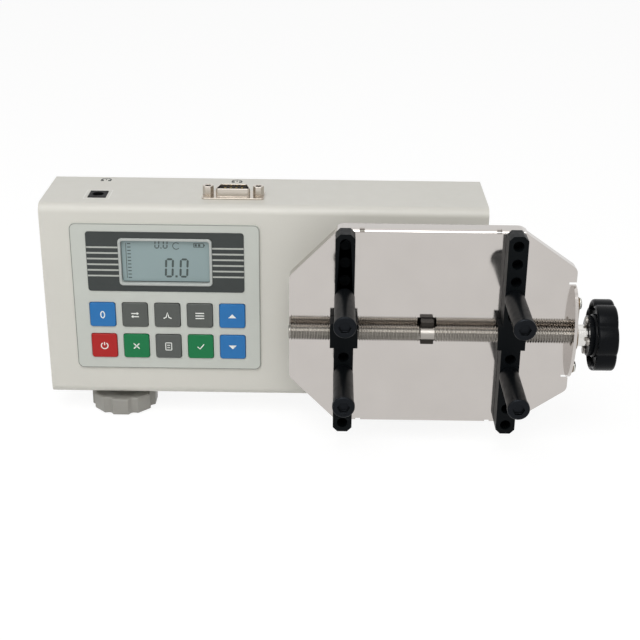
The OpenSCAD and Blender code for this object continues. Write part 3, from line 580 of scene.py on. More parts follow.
def put(name: str, data: bpy.types.ID) -> bpy.types.Object:
    """Puts a new object into the scene.

    Args:
        name: the object's name.
        data: its mesh, light or camera.

    Returns:
        The object.
    """
    item = bpy.data.objects.new(name, data)
    bpy.context.scene.collection.objects.link(item)
    return item


def stand(name: str, mesh: bpy.types.Mesh, material: bpy.types.Material) -> bpy.types.Object:
    """Puts a finished mesh into the scene with one material.

    Args:
        name: the piece's name.
        mesh: its mesh, in place.
        material: its finish.

    Returns:
        The new object, at the origin.
    """
    mesh.materials.clear()
    mesh.materials.append(material)
    return put(name, mesh)


def from_bmesh(shape: bmesh.types.BMesh, name: str, crease: float = 40.0) -> bpy.types.Mesh:
    """Closes a bmesh into a mesh, shaded smooth up to an angle.

    Args:
        shape: the bmesh, which is freed.
        name: the mesh's name.
        crease: edges turned by more than this many degrees stay sharp.

    Returns:
        The mesh.
    """
    mesh = bpy.data.meshes.new(name)
    shape.to_mesh(mesh)
    shape.free()
    for layer in [a.name for a in mesh.attributes if a.name == "custom_normal"]:
        mesh.attributes.remove(mesh.attributes[layer])
    mesh.shade_smooth()
    mesh.set_sharp_from_angle(angle=math.radians(crease))
    return mesh


def bake(piece: bpy.types.Object, name: str) -> bpy.types.Mesh:
    """Turns a piece and its modifiers into a plain mesh and removes the piece.

    Args:
        piece: the object to evaluate.
        name: the new mesh's name.

    Returns:
        The evaluated mesh.
    """
    bpy.context.view_layer.update()
    graph = bpy.context.evaluated_depsgraph_get()
    mesh = bpy.data.meshes.new_from_object(piece.evaluated_get(graph))
    mesh.name = name
    bpy.data.objects.remove(piece)
    return mesh


def outward(mesh: bpy.types.Mesh, crease: float = 40.0) -> bpy.types.Mesh:
    """Merges a baked mesh's doubles and points its faces outwards.

    Args:
        mesh: the mesh to mend.
        crease: edges turned by more than this many degrees stay sharp.

    Returns:
        A mended copy.
    """
    shape = bmesh.new()
    shape.from_mesh(mesh)
    bmesh.ops.remove_doubles(shape, verts=shape.verts, dist=1e-6)
    bmesh.ops.recalc_face_normals(shape, faces=shape.faces)
    name = mesh.name
    bpy.data.meshes.remove(mesh)
    return from_bmesh(shape, name, crease)


def slab(shape: bmesh.types.BMesh, outline: Iterable[Vector], thickness: Vector) -> None:
    """Adds a prism with this outline.

    Args:
        shape: the bmesh that it joins.
        outline: its corners, in order.
        thickness: the way from one face to the other.
    """
    corners = list(outline)
    near = [shape.verts.new(c) for c in corners]
    far = [shape.verts.new(c + thickness) for c in corners]
    count = len(near)
    shape.faces.new(near)
    shape.faces.new(list(reversed(far)))
    for i in range(count):
        j = (i + 1) % count
        shape.faces.new([near[j], near[i], far[i], far[j]])


def rings_to_shape(rings: Sequence[Sequence[Vector]]) -> bmesh.types.BMesh:
    """Skins a row of closed rings of equal count, and caps both ends.

    Args:
        rings: the rings, in order.

    Returns:
        A closed bmesh with its faces outwards.
    """
    shape = bmesh.new()
    rows = [[shape.verts.new(p) for p in ring] for ring in rings]
    count = len(rows[0])
    for a, b in zip(rows, rows[1:]):
        for i in range(count):
            j = (i + 1) % count
            shape.faces.new([a[i], a[j], b[j], b[i]])
    shape.faces.new(list(reversed(rows[0])))
    shape.faces.new(rows[-1])
    bmesh.ops.recalc_face_normals(shape, faces=shape.faces)
    return shape


# Flat outlines, in millimetres across and up


def arc(cx: float, cy: float, r: float, start: float, end: float, steps: int = 12) -> Outline:
    """Points along an arc, in degrees from +X towards up."""
    turns = [math.radians(start + (end - start) * i / steps) for i in range(steps + 1)]
    return [(cx + r * math.cos(turn), cy + r * math.sin(turn)) for turn in turns]


def bar(cx: float, cy: float, w: float, h: float) -> Outline:
    """A rectangle about its middle.

    Args:
        cx: its middle across.
        cy: its middle up.
        w: its width.
        h: its height.

    Returns:
        Its outline.
    """
    return [
        (cx - w / 2, cy - h / 2),
        (cx + w / 2, cy - h / 2),
        (cx + w / 2, cy + h / 2),
        (cx - w / 2, cy + h / 2),
    ]


def soft_bar(w: float, h: float, r: float, steps: int = 6) -> Outline:
    """A rectangle with round corners about the middle.

    Args:
        w: its width.
        h: its height.
        r: the corners' radius.
        steps: stretches in each corner.

    Returns:
        Its outline.
    """
    points: Outline = []
    for turn, (sx, sy) in enumerate([(1, 1), (-1, 1), (-1, -1), (1, -1)]):
        points += arc(sx * (w / 2 - r), sy * (h / 2 - r), r, turn * 90, turn * 90 + 90, steps)
    return points


def band(outer: Outline, inner: Outline) -> list[Outline]:
    """Quads between two closed outlines of equal count.

    Args:
        outer: the outer outline.
        inner: the inner one.

    Returns:
        One quad for each side.
    """
    count = len(outer)
    return [
        [outer[i], outer[(i + 1) % count], inner[(i + 1) % count], inner[i]]
        for i in range(count)
    ]


def stroke(path: Outline, width: float) -> list[Outline]:
    """Quads along an open path.

    Args:
        path: the line's points.
        width: the line's width.

    Returns:
        One quad for each stretch, with ends that meet.
    """
    sides: list[tuple[Point, Point]] = []
    for i, (x, y) in enumerate(path):
        before = path[max(0, i - 1)]
        after = path[min(len(path) - 1, i + 1)]
        dx, dy = after[0] - before[0], after[1] - before[1]
        length = math.hypot(dx, dy) or 1.0
        nx, ny = -dy / length * width / 2, dx / length * width / 2
        sides.append(((x + nx, y + ny), (x - nx, y - ny)))
    return [[a[1], b[1], b[0], a[0]] for a, b in zip(sides, sides[1:])]


def moved(outlines: Iterable[Outline], dx: float, dy: float) -> list[Outline]:
    """Shifts outlines across and up."""
    return [[(x + dx, y + dy) for x, y in outline] for outline in outlines]


class Sign(Enum):
    """The plain signs on the keys."""

    NUMERAL = "numeral"
    SWAP = "swap"
    PEAK = "peak"
    STACK = "stack"
    UP = "up"
    POWER = "power"
    CROSS = "cross"
    SHEET = "sheet"
    TICK = "tick"
    DOWN = "down"

    def outlines(self, size: float, line: float) -> list[Outline]:
        """Draws the sign about the middle.

        Args:
            size: its height.
            line: the width of its lines.

        Returns:
            Its outlines.
        """
        h = size / 2
        if self is Sign.NUMERAL:
            circle = arc(0, 0, h, 0, 360, 28)[:-1]
            outer = [(x * 0.62, y) for x, y in circle]
            inner = [(x * (0.62 - line / h), y * (1 - line / h)) for x, y in circle]
            return band(outer, inner)
        if self is Sign.SWAP:
            right = [(h, h * 0.42), (h * 0.45, h * 0.85), (h * 0.45, 0.0)]
            left = [(-x, -y) for x, y in right]
            shafts = [bar(-k * 0.25, k * 0.42, h * 1.4, line) for k in (h, -h)]
            return [right, left, *shafts]
        if self is Sign.PEAK:
            path = [(-1, -0.8), (-0.35, -0.5), (0, 0.8), (0.35, -0.5), (1, -0.8)]
            return stroke([(x * h, y * h) for x, y in path], line)
        if self is Sign.STACK:
            return [bar(0, y * h, 2.2 * h, line) for y in (-0.7, 0.0, 0.7)]
        if self is Sign.UP:
            return [[(-h, -h * 0.5), (h, -h * 0.5), (0, h * 0.55)]]
        if self is Sign.DOWN:
            return [[(-h, h * 0.5), (0, -h * 0.55), (h, h * 0.5)]]
        if self is Sign.POWER:
            ring = stroke(arc(0, 0, h * 0.85, 125, 415, 24), line)
            return [*ring, bar(0, h * 0.55, line, h * 0.9)]
        if self is Sign.CROSS:
            k = h * 0.72
            return [*stroke([(-k, -k), (k, k)], line), *stroke([(-k, k), (k, -k)], line)]
        if self is Sign.SHEET:
            w = h * 0.75
            edges = [bar(0, -h, 2 * w, line * 0.8), bar(0, h, 2 * w, line * 0.8)]
            edges += [bar(-w, 0, line * 0.8, 2 * h), bar(w, 0, line * 0.8, 2 * h)]
            return [*edges, bar(0, h * 0.33, w, line * 0.7), bar(0, -h * 0.33, w, line * 0.7)]
        return stroke([(-h * 0.8, 0), (-h * 0.2, -h * 0.6), (h * 0.85, h * 0.7)], line)


@dataclass(frozen=True)
class Numeral:
    """A seven-segment nought of one size, in millimetres."""

    w: float
    h: float
    line: float
    step: float
    dot: float
    dot_rise: float
    slant: float = 0.06
    gap_share: float = 0.16

    def across(self, y: float) -> Outline:
        """A segment along the width.

        Args:
            y: how high its middle lies.

        Returns:
            Its outline.
        """
        half, gap = self.line / 2, self.line * self.gap_share
        left, right = half + gap, self.w - half - gap
        near, far = self.line + gap, self.w - self.line - gap
        return [
            (left, y), (near, y - half), (far, y - half),
            (right, y), (far, y + half), (near, y + half),
        ]

    def upright(self, x: float, low: float, high: float) -> Outline:
        """A segment up one side.

        Args:
            x: where its middle lies across.
            low: its foot.
            high: its head.

        Returns:
            Its outline.
        """
        half = self.line / 2
        return [
            (x, low), (x + half, low + half), (x + half, high - half),
            (x, high), (x - half, high - half), (x - half, low + half),
        ]

    def nought(self, x: float, y: float) -> list[Outline]:
        """Draws the six lit segments.

        Args:
            x: its left.
            y: its foot.

        Returns:
            One outline for each segment.
        """
        w, h, half, gap = self.w, self.h, self.line / 2, self.line * self.gap_share
        lower, upper = (gap + half, h / 2 - gap), (h / 2 + gap, h - gap - half)
        shapes = [
            self.across(h - half), self.upright(w - half, *upper), self.upright(w - half, *lower),
            self.across(half), self.upright(half, *lower), self.upright(half, *upper),
        ]
        return moved([[(a + b * self.slant, b) for a, b in shape] for shape in shapes], x, y)

    def pair(self, x: float, y: float, gap: float) -> list[Outline]:
        """Draws a nought, a point and a nought.

        Args:
            x: the first nought's left.
            y: the noughts' foot.
            gap: from the first nought's left to the point.

        Returns:
            The lit segments and the point.
        """
        point = bar(x + gap, y + self.dot_rise, self.dot, self.dot)
        return [*self.nought(x, y), point, *self.nought(x + self.step, y)]


# Places


def centre(node: str) -> Vector:
    """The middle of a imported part's box."""
    low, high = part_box(node)
    return (low + high) / 2


def from_corner(x: float, y: float, z: float) -> Vector:
    """A point this far from the housing's front bottom left corner, in millimetres."""
    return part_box("front_shell")[0] + Vector((x, y, z)) * MM


def span(node: str) -> tuple[float, float, float]:
    """The width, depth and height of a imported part's box, in millimetres."""
    low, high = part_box(node)
    return ((high.x - low.x) / MM, (high.y - low.y) / MM, (high.z - low.z) / MM)


def settle(
    mesh: bpy.types.Mesh, place: Sequence[float], degrees: float = 0.0, axis: str = "Z"
) -> None:
    """Turns a mesh about an axis through the origin, then moves it.

    Args:
        mesh: the mesh.
        place: where its origin goes, in metres.
        degrees: how far it turns.
        axis: the letter of the axis.
    """
    turn = Matrix.Rotation(math.radians(degrees), 4, axis)
    mesh.transform(Matrix.Translation(Vector(place)) @ turn)


class Side(Enum):
    """Which way a printed face looks."""

    FRONT = "front"
    TOP = "top"

    def lift(self, point: Point, base: Vector) -> Vector:
        """Puts a flat point onto the face.

        Args:
            point: the point, across and up or back, in millimetres.
            base: where the outline's own origin lies.

        Returns:
            The point in the frame.
        """
        if self is Side.FRONT:
            return base + Vector((point[0], 0.0, point[1])) * MM
        return base + Vector((point[0], point[1], 0.0)) * MM

    def out(self, height: float) -> Vector:
        """The way out of the face, as long as this height in millimetres."""
        return Vector((0, -height, 0)) * MM if self is Side.FRONT else Vector((0, 0, height)) * MM


def printed(
    name: str,
    outlines: Iterable[Outline],
    base: Vector,
    side: Side,
    material: bpy.types.Material,
    height: float,
) -> bpy.types.Object:
    """Prints flat outlines onto a face, as thin raised ink.

    Args:
        name: the piece's name.
        outlines: what is printed, in millimetres.
        base: where the outlines' own origin lies on the face.
        side: which way the face looks.
        material: the ink.
        height: the ink's thickness in millimetres.

    Returns:
        The printed piece.
    """
    shape = bmesh.new()
    for outline in outlines:
        slab(shape, [side.lift(p, base) for p in outline], side.out(height))
    bmesh.ops.recalc_face_normals(shape, faces=shape.faces)
    return stand(name, from_bmesh(shape, name), material)


# Repeats made by node trees


class RepeatTree(Graph):
    """A geometry node tree with named inputs that ends in real, dressed faces."""

    def __init__(self, name: str) -> None:
        """Starts an empty tree with a geometry input.

        Args:
            name: the tree's name.
        """
        super().__init__(bpy.data.node_groups.new(name, "GeometryNodeTree"))
        self.identifiers: dict[str, str] = {}
        self.entry("Points", "NodeSocketGeometry")
        self.tree.interface.new_socket("Result", in_out="OUTPUT", socket_type="NodeSocketGeometry")
        self.source = self.tree.nodes.new("NodeGroupInput")
        self.sink = self.tree.nodes.new("NodeGroupOutput")

    def entry(self, name: str, kind: str) -> None:
        """Adds a named input of this socket kind."""
        socket = self.tree.interface.new_socket(name, in_out="INPUT", socket_type=kind)
        self.identifiers[name] = socket.identifier

    def close(self, geometry: bpy.types.NodeSocket) -> None:
        """Ends the tree with real faces and their material.

        Args:
            geometry: what the tree has made.
        """
        self.entry("Material", "NodeSocketMaterial")
        real = self.node("GeometryNodeRealizeInstances")
        dress = self.node("GeometryNodeSetMaterial")
        self.link(geometry, real.inputs["Geometry"])
        self.link(real.outputs["Geometry"], dress.inputs["Geometry"])
        self.link(self.source.outputs["Material"], dress.inputs["Material"])
        self.link(dress.outputs["Geometry"], self.sink.inputs["Result"])

    def run(
        self, name: str, values: dict[str, object], points: Sequence[Vector] = ()
    ) -> bpy.types.Mesh:
        """Runs the tree once and keeps the result as a plain mesh.

        Args:
            name: the new mesh's name.
            values: the tree's inputs by name.
            points: the places that the tree repeats something at.

        Returns:
            The mesh.
        """
        seed = bpy.data.meshes.new(name + "_points")
        seed.from_pydata([tuple(p) for p in points], [], [])
        carrier = put(name + "_carrier", seed)
        modifier = carrier.modifiers.new("repeat", "NODES")
        modifier.node_group = self.tree
        for key, value in values.items():
            modifier[self.identifiers[key]] = value
        return bake(carrier, name)


class Hand(Enum):
    """Which way a thread winds."""

    RIGHT = 1.0
    LEFT = -1.0


class ThreadTree(RepeatTree):
    """Cuts a thread round a straight bar along X, with both its ends closed and chamfered."""

    CREST = 0.14
    FLANK = 0.66
    DEPTH = 0.54
    RINGS = 8

    def __init__(self) -> None:
        """Builds the tree."""
        super().__init__("thread")
        for name in ("Start", "Length", "Radius", "Depth", "Pitch", "Hand", "Chamfer"):
            self.entry(name, "NodeSocketFloat")
        for name in ("Rings", "Sides"):
            self.entry(name, "NodeSocketInt")
        value = self.source.outputs
        grid = self.node("GeometryNodeMeshGrid")
        grid.inputs["Size X"].default_value = 1.0
        grid.inputs["Size Y"].default_value = 1.0
        self.link(value["Rings"], grid.inputs["Vertices X"])
        self.link(value["Sides"], grid.inputs["Vertices Y"])
        place = self.node("ShaderNodeSeparateXYZ")
        self.link(self.node("GeometryNodeInputPosition").outputs[0], place.inputs[0])
        last = self.math("SUBTRACT", value["Rings"], 1.0)
        across = self.math("ADD", place.outputs["X"], 0.5)
        row = self.math("ROUND", self.math("MULTIPLY", across, last))
        inside = self.math("SUBTRACT", last, 2.0)
        share = self.unit(self.math("DIVIDE", self.math("SUBTRACT", row, 1.0), inside))
        turn = self.math("ADD", place.outputs["Y"], 0.5)
        along = self.math("MULTIPLY", share, value["Length"])
        phase = self.math(
            "FRACT",
            self.math(
                "SUBTRACT",
                self.math("DIVIDE", along, value["Pitch"]),
                self.math("MULTIPLY", turn, value["Hand"]),
            ),
        )
        wave = self.math("ABSOLUTE", self.math("SUBTRACT", self.math("MULTIPLY", phase, 2.0), 1.0))
        below = self.math("SUBTRACT", wave, self.CREST)
        flank = self.unit(self.math("DIVIDE", below, self.FLANK))
        cut = self.math("SUBTRACT", value["Radius"], self.math("MULTIPLY", flank, value["Depth"]))
        end = self.math("MINIMUM", along, self.math("SUBTRACT", value["Length"], along))
        chamfer = self.math("ADD", self.math("SUBTRACT", value["Radius"], value["Chamfer"]), end)
        radius = self.math("MINIMUM", cut, chamfer)
        within = self.math(
            "MULTIPLY",
            self.math("GREATER_THAN", row, 0.5),
            self.math("LESS_THAN", row, self.math("SUBTRACT", last, 0.5)),
        )
        radius = self.math("MULTIPLY", radius, within)
        angle = self.math("MULTIPLY", turn, 2 * math.pi)
        join = self.node("ShaderNodeCombineXYZ")
        self.link(self.math("ADD", along, value["Start"]), join.inputs["X"])
        self.link(self.math("MULTIPLY", radius, self.math("COSINE", angle)), join.inputs["Y"])
        self.link(self.math("MULTIPLY", radius, self.math("SINE", angle)), join.inputs["Z"])
        shift = self.node("GeometryNodeSetPosition")
        self.link(grid.outputs["Mesh"], shift.inputs["Geometry"])
        self.link(join.outputs[0], shift.inputs["Position"])
        weld = self.node("GeometryNodeMergeByDistance")
        weld.inputs["Distance"].default_value = 1e-6
        self.link(shift.outputs["Geometry"], weld.inputs["Geometry"])
        self.close(weld.outputs["Geometry"])

    def cut(
        self,
        name: str,
        length: float,
        diameter: float,
        pitch: float,
        material: bpy.types.Material,
        hand: Hand,
        sides: int,
        chamfer: float,
    ) -> bpy.types.Mesh:
        """Makes a threaded bar along X from the origin.

        Args:
            name: the mesh's name.
            length: the bar's length in millimetres.
            diameter: over the thread's crests, in millimetres.
            pitch: from crest to crest, in millimetres.
            material: its finish.
            hand: which way it winds.
            sides: points round the bar.
            chamfer: how far the ends are turned down, in millimetres.

        Returns:
            The mesh, faces outwards.
        """
        rings = int(length / pitch * self.RINGS) + 4
        mesh = self.run(name, {
            "Start": 0.0,
            "Length": length * MM,
            "Radius": diameter / 2 * MM,
            "Depth": pitch * self.DEPTH * MM,
            "Pitch": pitch * MM,
            "Hand": hand.value,
            "Chamfer": chamfer * MM,
            "Rings": rings,
            "Sides": sides + 1,
            "Material": material,
        })
        return outward(mesh, 70.0)


class StampTree(RepeatTree):
    """Sets one small shape at each point, all turned the same way."""

    def __init__(self) -> None:
        """Builds the tree."""
        super().__init__("stamp")
        self.entry("Shape", "NodeSocketObject")
        self.entry("Turn", "NodeSocketVector")
        self.entry("Twist", "NodeSocketFloat")
        self.entry("Seed", "NodeSocketInt")
        value = self.source.outputs
        shape = self.node("GeometryNodeObjectInfo")
        self.link(value["Shape"], shape.inputs["Object"])
        spin = self.node("FunctionNodeRandomValue", data_type="FLOAT")
        spin.inputs[2].default_value = -1.0
        spin.inputs[3].default_value = 1.0
        self.link(value["Seed"], spin.inputs["Seed"])
        twist = self.math("MULTIPLY", spin.outputs[1], value["Twist"])
        about = self.node("ShaderNodeCombineXYZ")
        self.link(twist, about.inputs["Z"])
        own = self.node("FunctionNodeEulerToRotation")
        self.link(about.outputs[0], own.inputs[0])
        set_turn = self.node("FunctionNodeEulerToRotation")
        self.link(value["Turn"], set_turn.inputs[0])
        both = self.node("FunctionNodeRotateRotation", rotation_space="LOCAL")
        self.link(set_turn.outputs[0], both.inputs[0])
        self.link(own.outputs[0], both.inputs[1])
        stamp = self.node("GeometryNodeInstanceOnPoints")
        self.link(value["Points"], stamp.inputs["Points"])
        self.link(shape.outputs["Geometry"], stamp.inputs["Instance"])
        self.link(both.outputs[0], stamp.inputs["Rotation"])
        self.close(stamp.outputs["Instances"])

    def set(
        self,
        name: str,
        shape: bpy.types.Mesh,
        points: Sequence[Vector],
        turn: Sequence[float],
        material: bpy.types.Material,
        twist: float = 0.0,
    ) -> bpy.types.Mesh:
        """Repeats a shape that stands up along Z.

        Args:
            name: the new mesh's name.
            shape: the small mesh, which is used up.
            points: where it goes, in metres.
            turn: the turn that tips its Z the right way, in radians.
            material: its finish.
            twist: how far each may turn about its own Z, in radians.

        Returns:
            One mesh with every copy.
        """
        pattern = put(name + "_pattern", shape)
        mesh = self.run(name, {
            "Shape": pattern,
            "Turn": turn,
            "Twist": twist,
            "Seed": 7,
            "Material": material,
        }, points)
        bpy.data.objects.remove(pattern)
        return outward(mesh)


# Turns that tip a shape's own Z out of a face
OUT_BACK = (math.radians(-90), 0.0, 0.0)
OUT_RIGHT = (0.0, math.radians(90), 0.0)
OUT_TOP = (0.0, 0.0, 0.0)


def turned(
    profile: Sequence[Point], sides: int, name: str, crease: float = 40.0
) -> bpy.types.Mesh:
    """Turns a profile about Z.

    Args:
        profile: radius and height of each step, in millimetres, from bottom to top.
        sides: points round it.
        name: the mesh's name.
        crease: edges turned by more than this many degrees stay sharp.

    Returns:
        The mesh, closed at both ends.
    """
    turns = [2 * math.pi * i / sides for i in range(sides)]
    rings = [
        [Vector((r * math.cos(turn), r * math.sin(turn), z)) * MM for turn in turns]
        for r, z in profile
    ]
    return from_bmesh(rings_to_shape(rings), name, crease)


def carve(body: bpy.types.Mesh, tool: bpy.types.Mesh, name: str) -> bpy.types.Mesh:
    """Cuts one closed mesh out of another.

    Args:
        body: what is cut.
        tool: what is taken away.
        name: the result's name.

    Returns:
        The cut mesh.
    """
    piece, cutter = put(name + "_body", body), put(name + "_tool", tool)
    cut = piece.modifiers.new("cut", "BOOLEAN")
    cut.operation = "DIFFERENCE"
    cut.solver = "EXACT"
    cut.object = cutter
    mesh = bake(piece, name)
    bpy.data.objects.remove(cutter)
    return outward(mesh)


def pan_head(d: float, t: float, cross: float, deep: float, name: str) -> bpy.types.Mesh:
    """A pan head with a cross recess, standing on Z.

    Args:
        d: its diameter in millimetres.
        t: its thickness.
        cross: the recess's width.
        deep: the recess's depth.
        name: the mesh's name.

    Returns:
        The head's mesh.
    """
    dome = [
        (0.9, 0.0), (0.98, 0.12), (1.0, 0.3), (0.97, 0.6), (0.86, 0.86), (0.68, 0.98), (0.4, 1.0)
    ]
    body = turned([(d / 2 * r, t * z) for r, z in dome], 28, name + "_dome", 60.0)
    shape = bmesh.new()
    arm = cross * 0.22
    outline = [
        (arm, arm), (arm, cross / 2), (-arm, cross / 2), (-arm, arm),
        (-cross / 2, arm), (-cross / 2, -arm), (-arm, -arm), (-arm, -cross / 2),
        (arm, -cross / 2), (arm, -arm), (cross / 2, -arm), (cross / 2, arm),
    ]
    floor = [Vector((x, y, t - deep)) * MM for x, y in outline]
    slab(shape, floor, Vector((0, 0, deep * 3)) * MM)
    bmesh.ops.recalc_face_normals(shape, faces=shape.faces)
    return carve(body, from_bmesh(shape, name + "_cross"), name)


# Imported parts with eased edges


@dataclass(frozen=True)
class Ease:
    """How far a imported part's sharp edges are broken."""

    width: float
    steps: int = 2
    limit: float = 33.0
    weld: float = 3e-6
    level: float = 0.6

    def apply(self, node: str, material: bpy.types.Material, body: str) -> bpy.types.Object:
        """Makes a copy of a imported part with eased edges, which then stands for it.

        Args:
            node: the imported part's name.
            material: its finish.
            body: what it rides on.

        Returns:
            The new piece.
        """
        packed = bpy.data.objects[node]
        shape = bmesh.new()
        shape.from_mesh(packed.data)
        bmesh.ops.remove_doubles(shape, verts=shape.verts, dist=self.weld)
        bmesh.ops.dissolve_limit(
            shape, angle_limit=math.radians(self.level), verts=shape.verts, edges=shape.edges
        )
        mesh = from_bmesh(shape, node + "_plain")
        piece = stand(node + "_plain", mesh, material)
        ease = piece.modifiers.new("ease", "BEVEL")
        ease.width = self.width * MM
        ease.segments = self.steps
        ease.limit_method = "ANGLE"
        ease.angle_limit = math.radians(self.limit)
        ease.use_clamp_overlap = True
        ease.harden_normals = False
        ease.miter_outer = "MITER_ARC"
        level = piece.modifiers.new("level", "WEIGHTED_NORMAL")
        level.keep_sharp = True
        baked = bake(piece, node + "_dressed")
        dressed = stand(node + "_dressed", baked, material)
        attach(dressed, body)
        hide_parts(node)
        return dressed


class Workshop:
    """What every sub-assembly needs: finishes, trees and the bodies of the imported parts."""

    def __init__(self, frame: dict) -> None:
        """Reads the frame and builds the finishes and the trees.
        """
        self.finish = finishes()
        self.thread = ThreadTree()
        self.stamp = StampTree()
        self.nodes: dict[str, bpy.types.Object] = frame["nodes"]
        record = frame["record"]
        self.body_of = {
            node: body
            for body, members in record["behaviour"]["bodies"].items()
            for node in members
        }
        self.slot_of = {row["node"]: row["material_slot"] for row in record["subparts"]}

    def coat(self, node: str, finish: str) -> None:
        """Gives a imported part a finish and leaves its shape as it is.

        Args:
            node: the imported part's name.
            finish: its finish's name.
        """
        mesh = self.nodes[node].data
        mesh.materials.clear()
        mesh.materials.append(self.finish[finish])
        LOG.info("coated %s with %s", node, finish)

    def ease(self, node: str, finish: str, width: float, steps: int = 2) -> None:
        """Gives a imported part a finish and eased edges.

        Args:
            node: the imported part's name.
            finish: its finish's name.
            width: how far its edges are broken, in millimetres.
            steps: how many faces round off an edge.
        """
        piece = Ease(width, steps).apply(node, self.finish[finish], self.body_of[node])
        LOG.info("eased %s by %.2f mm in %s", node, width, finish)

    def add(
        self,
        name: str,
        mesh: bpy.types.Mesh,
        finish: str,
        body: str,
        *stands_for: str,
        like: str = "",
    ) -> None:
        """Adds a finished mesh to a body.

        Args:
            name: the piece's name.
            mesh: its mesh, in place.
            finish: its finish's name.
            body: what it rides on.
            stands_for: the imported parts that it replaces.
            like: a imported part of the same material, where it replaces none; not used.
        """
        piece = stand(name, mesh, self.finish[finish])
        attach(piece, body)
        if stands_for:
            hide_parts(*stands_for)
        LOG.info("added %s on %s, %d faces", name, body, len(mesh.polygons))

    def repeat(
        self,
        name: str,
        shape: bpy.types.Mesh,
        points: Sequence[Vector],
        turn: Sequence[float],
        finish: str,
        body: str,
        *stands_for: str,
        like: str = "",
        twist: float = 0.0,
    ) -> None:
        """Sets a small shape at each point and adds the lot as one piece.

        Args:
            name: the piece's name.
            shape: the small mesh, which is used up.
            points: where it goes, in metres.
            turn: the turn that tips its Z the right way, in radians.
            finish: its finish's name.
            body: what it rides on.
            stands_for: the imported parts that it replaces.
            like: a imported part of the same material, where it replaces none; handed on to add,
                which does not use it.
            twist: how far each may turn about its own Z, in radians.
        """
        mesh = self.stamp.set(name, shape, points, turn, self.finish[finish], twist)
        self.add(name, mesh, finish, body, *stands_for, like=like)

    def mark(
        self,
        name: str,
        outlines: Iterable[Outline],
        base: Vector,
        side: Side,
        finish: str,
        body: str = "housing",
        height: float = 0.02,
    ) -> None:
        """Prints outlines onto a face and lets them ride on a body.

        Args:
            name: the piece's name.
            outlines: what is printed, in millimetres.
            base: where the outlines' own origin lies on the face.
            side: which way the face looks.
            finish: the ink's name.
            body: what the print rides on.
            height: the ink's thickness in millimetres.
        """
        piece = printed(name, outlines, base, side, self.finish[finish], height)
        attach(piece, body)
        LOG.info("printed %s", name)


# Sub-assemblies


INNER_PARTS: dict[str, tuple[str, ...]] = {
    "tray_black": ("lcd_module", "key_switches", "battery_tray"),
    "board_green": ("display_board",),
    "brass_turned": ("board_spacers",),
    "cell_blue": ("battery_cells",),
    "cell_steel": ("sensor_mount", "sensor_bridge"),
    "turned_steel": ("torque_cell", "bearing_outer_ring", "bearing_inner_ring", "bearing_balls"),
    "zinc_steel": ("board_screws", "foot_inserts", "cover_screws", "sensor_screws"),
}


@dataclass
class Housing:
    """The folded housing with its cover, its screws and what is in it."""

    shop: Workshop
    edge: float = 0.16
    screw_head: float = 5.7
    screw_head_t: float = 1.95
    cross: float = 3.0
    cross_depth: float = 1.1
    twist: float = 0.8

    def build(self) -> None:
        """Dresses the shells, the cover screws and the inner parts."""
        for node in ("front_shell", "rear_cover"):
            self.shop.ease(node, "cream_paint", self.edge)
        self.cover_screws()
        for finish, nodes in INNER_PARTS.items():
            for node in nodes:
                self.shop.coat(node, finish)

    def cover_screws(self) -> None:
        """Lays a domed head with a cross recess over each cover screw."""
        low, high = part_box("cover_screws")
        r = self.screw_head / 2 * MM
        face = high.y - self.screw_head_t * MM
        points = [
            Vector((x, face, z))
            for x in (low.x + r, high.x - r)
            for z in (low.z + r, high.z - r)
        ]
        head = pan_head(
            self.screw_head, self.screw_head_t, self.cross, self.cross_depth, "cover_screw_head"
        )
        self.shop.repeat(
            "cover_screw_heads", head, points, OUT_BACK, "zinc_steel", "housing", "cover_screws",
            twist=self.twist,
        )


KEYS: dict[str, tuple[str, Sign]] = {
    "key_zero": ("key_blue", Sign.NUMERAL),
    "key_unit": ("key_grey", Sign.SWAP),
    "key_peak": ("key_grey", Sign.PEAK),
    "key_memory": ("key_grey", Sign.STACK),
    "key_up": ("key_blue", Sign.UP),
    "key_power": ("key_red", Sign.POWER),
    "key_clear": ("key_green", Sign.CROSS),
    "key_print": ("key_grey", Sign.SHEET),
    "key_set": ("key_green", Sign.TICK),
    "key_down": ("key_blue", Sign.DOWN),
}


@dataclass
class Keypad:
    """The panel, the grey ground of the display, and the ten keys with their signs."""

    shop: Workshop
    panel_edge: float = 0.12
    key_round: float = 0.35
    sign_size: float = 4.0
    sign_line: float = 0.55
    rim_inset: float = 0.05
    rim_round: float = 2.9
    rim_line: float = 0.35

    def build(self) -> None:
        """Dresses the panel and every key."""
        self.shop.ease("keypad_panel", "panel_grey", self.panel_edge)
        self.shop.coat("display_surround", "surround_grey")
        self.rim()
        for node, (finish, sign) in KEYS.items():
            self.key(node, finish, sign)

    def on_front(self, node: str) -> Vector:
        """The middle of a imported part's front face."""
        middle = centre(node)
        return Vector((middle.x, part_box(node)[0].y, middle.z))

    def rim(self) -> None:
        """Prints the thin line just inside the panel's edge."""
        w, _, h = span("keypad_panel")
        w, h = w - 2 * self.rim_inset, h - 2 * self.rim_inset
        outer = soft_bar(w, h, self.rim_round)
        inner = soft_bar(
            w - 2 * self.rim_line, h - 2 * self.rim_line, self.rim_round - self.rim_line
        )
        base = self.on_front("keypad_panel")
        self.shop.mark("panel_rim_line", band(outer, inner), base, Side.FRONT, "line_grey")

    def key(self, node: str, finish: str, sign: Sign) -> None:
        """Eases one key and prints its sign.

        Args:
            node: the key's name.
            finish: its colour.
            sign: what is printed on it.
        """
        self.shop.ease(node, finish, self.key_round, 3)
        outlines = sign.outlines(self.sign_size, self.sign_line)
        self.shop.mark(
            node + "_sign", outlines, self.on_front(node), Side.FRONT, "ink_white", node
        )


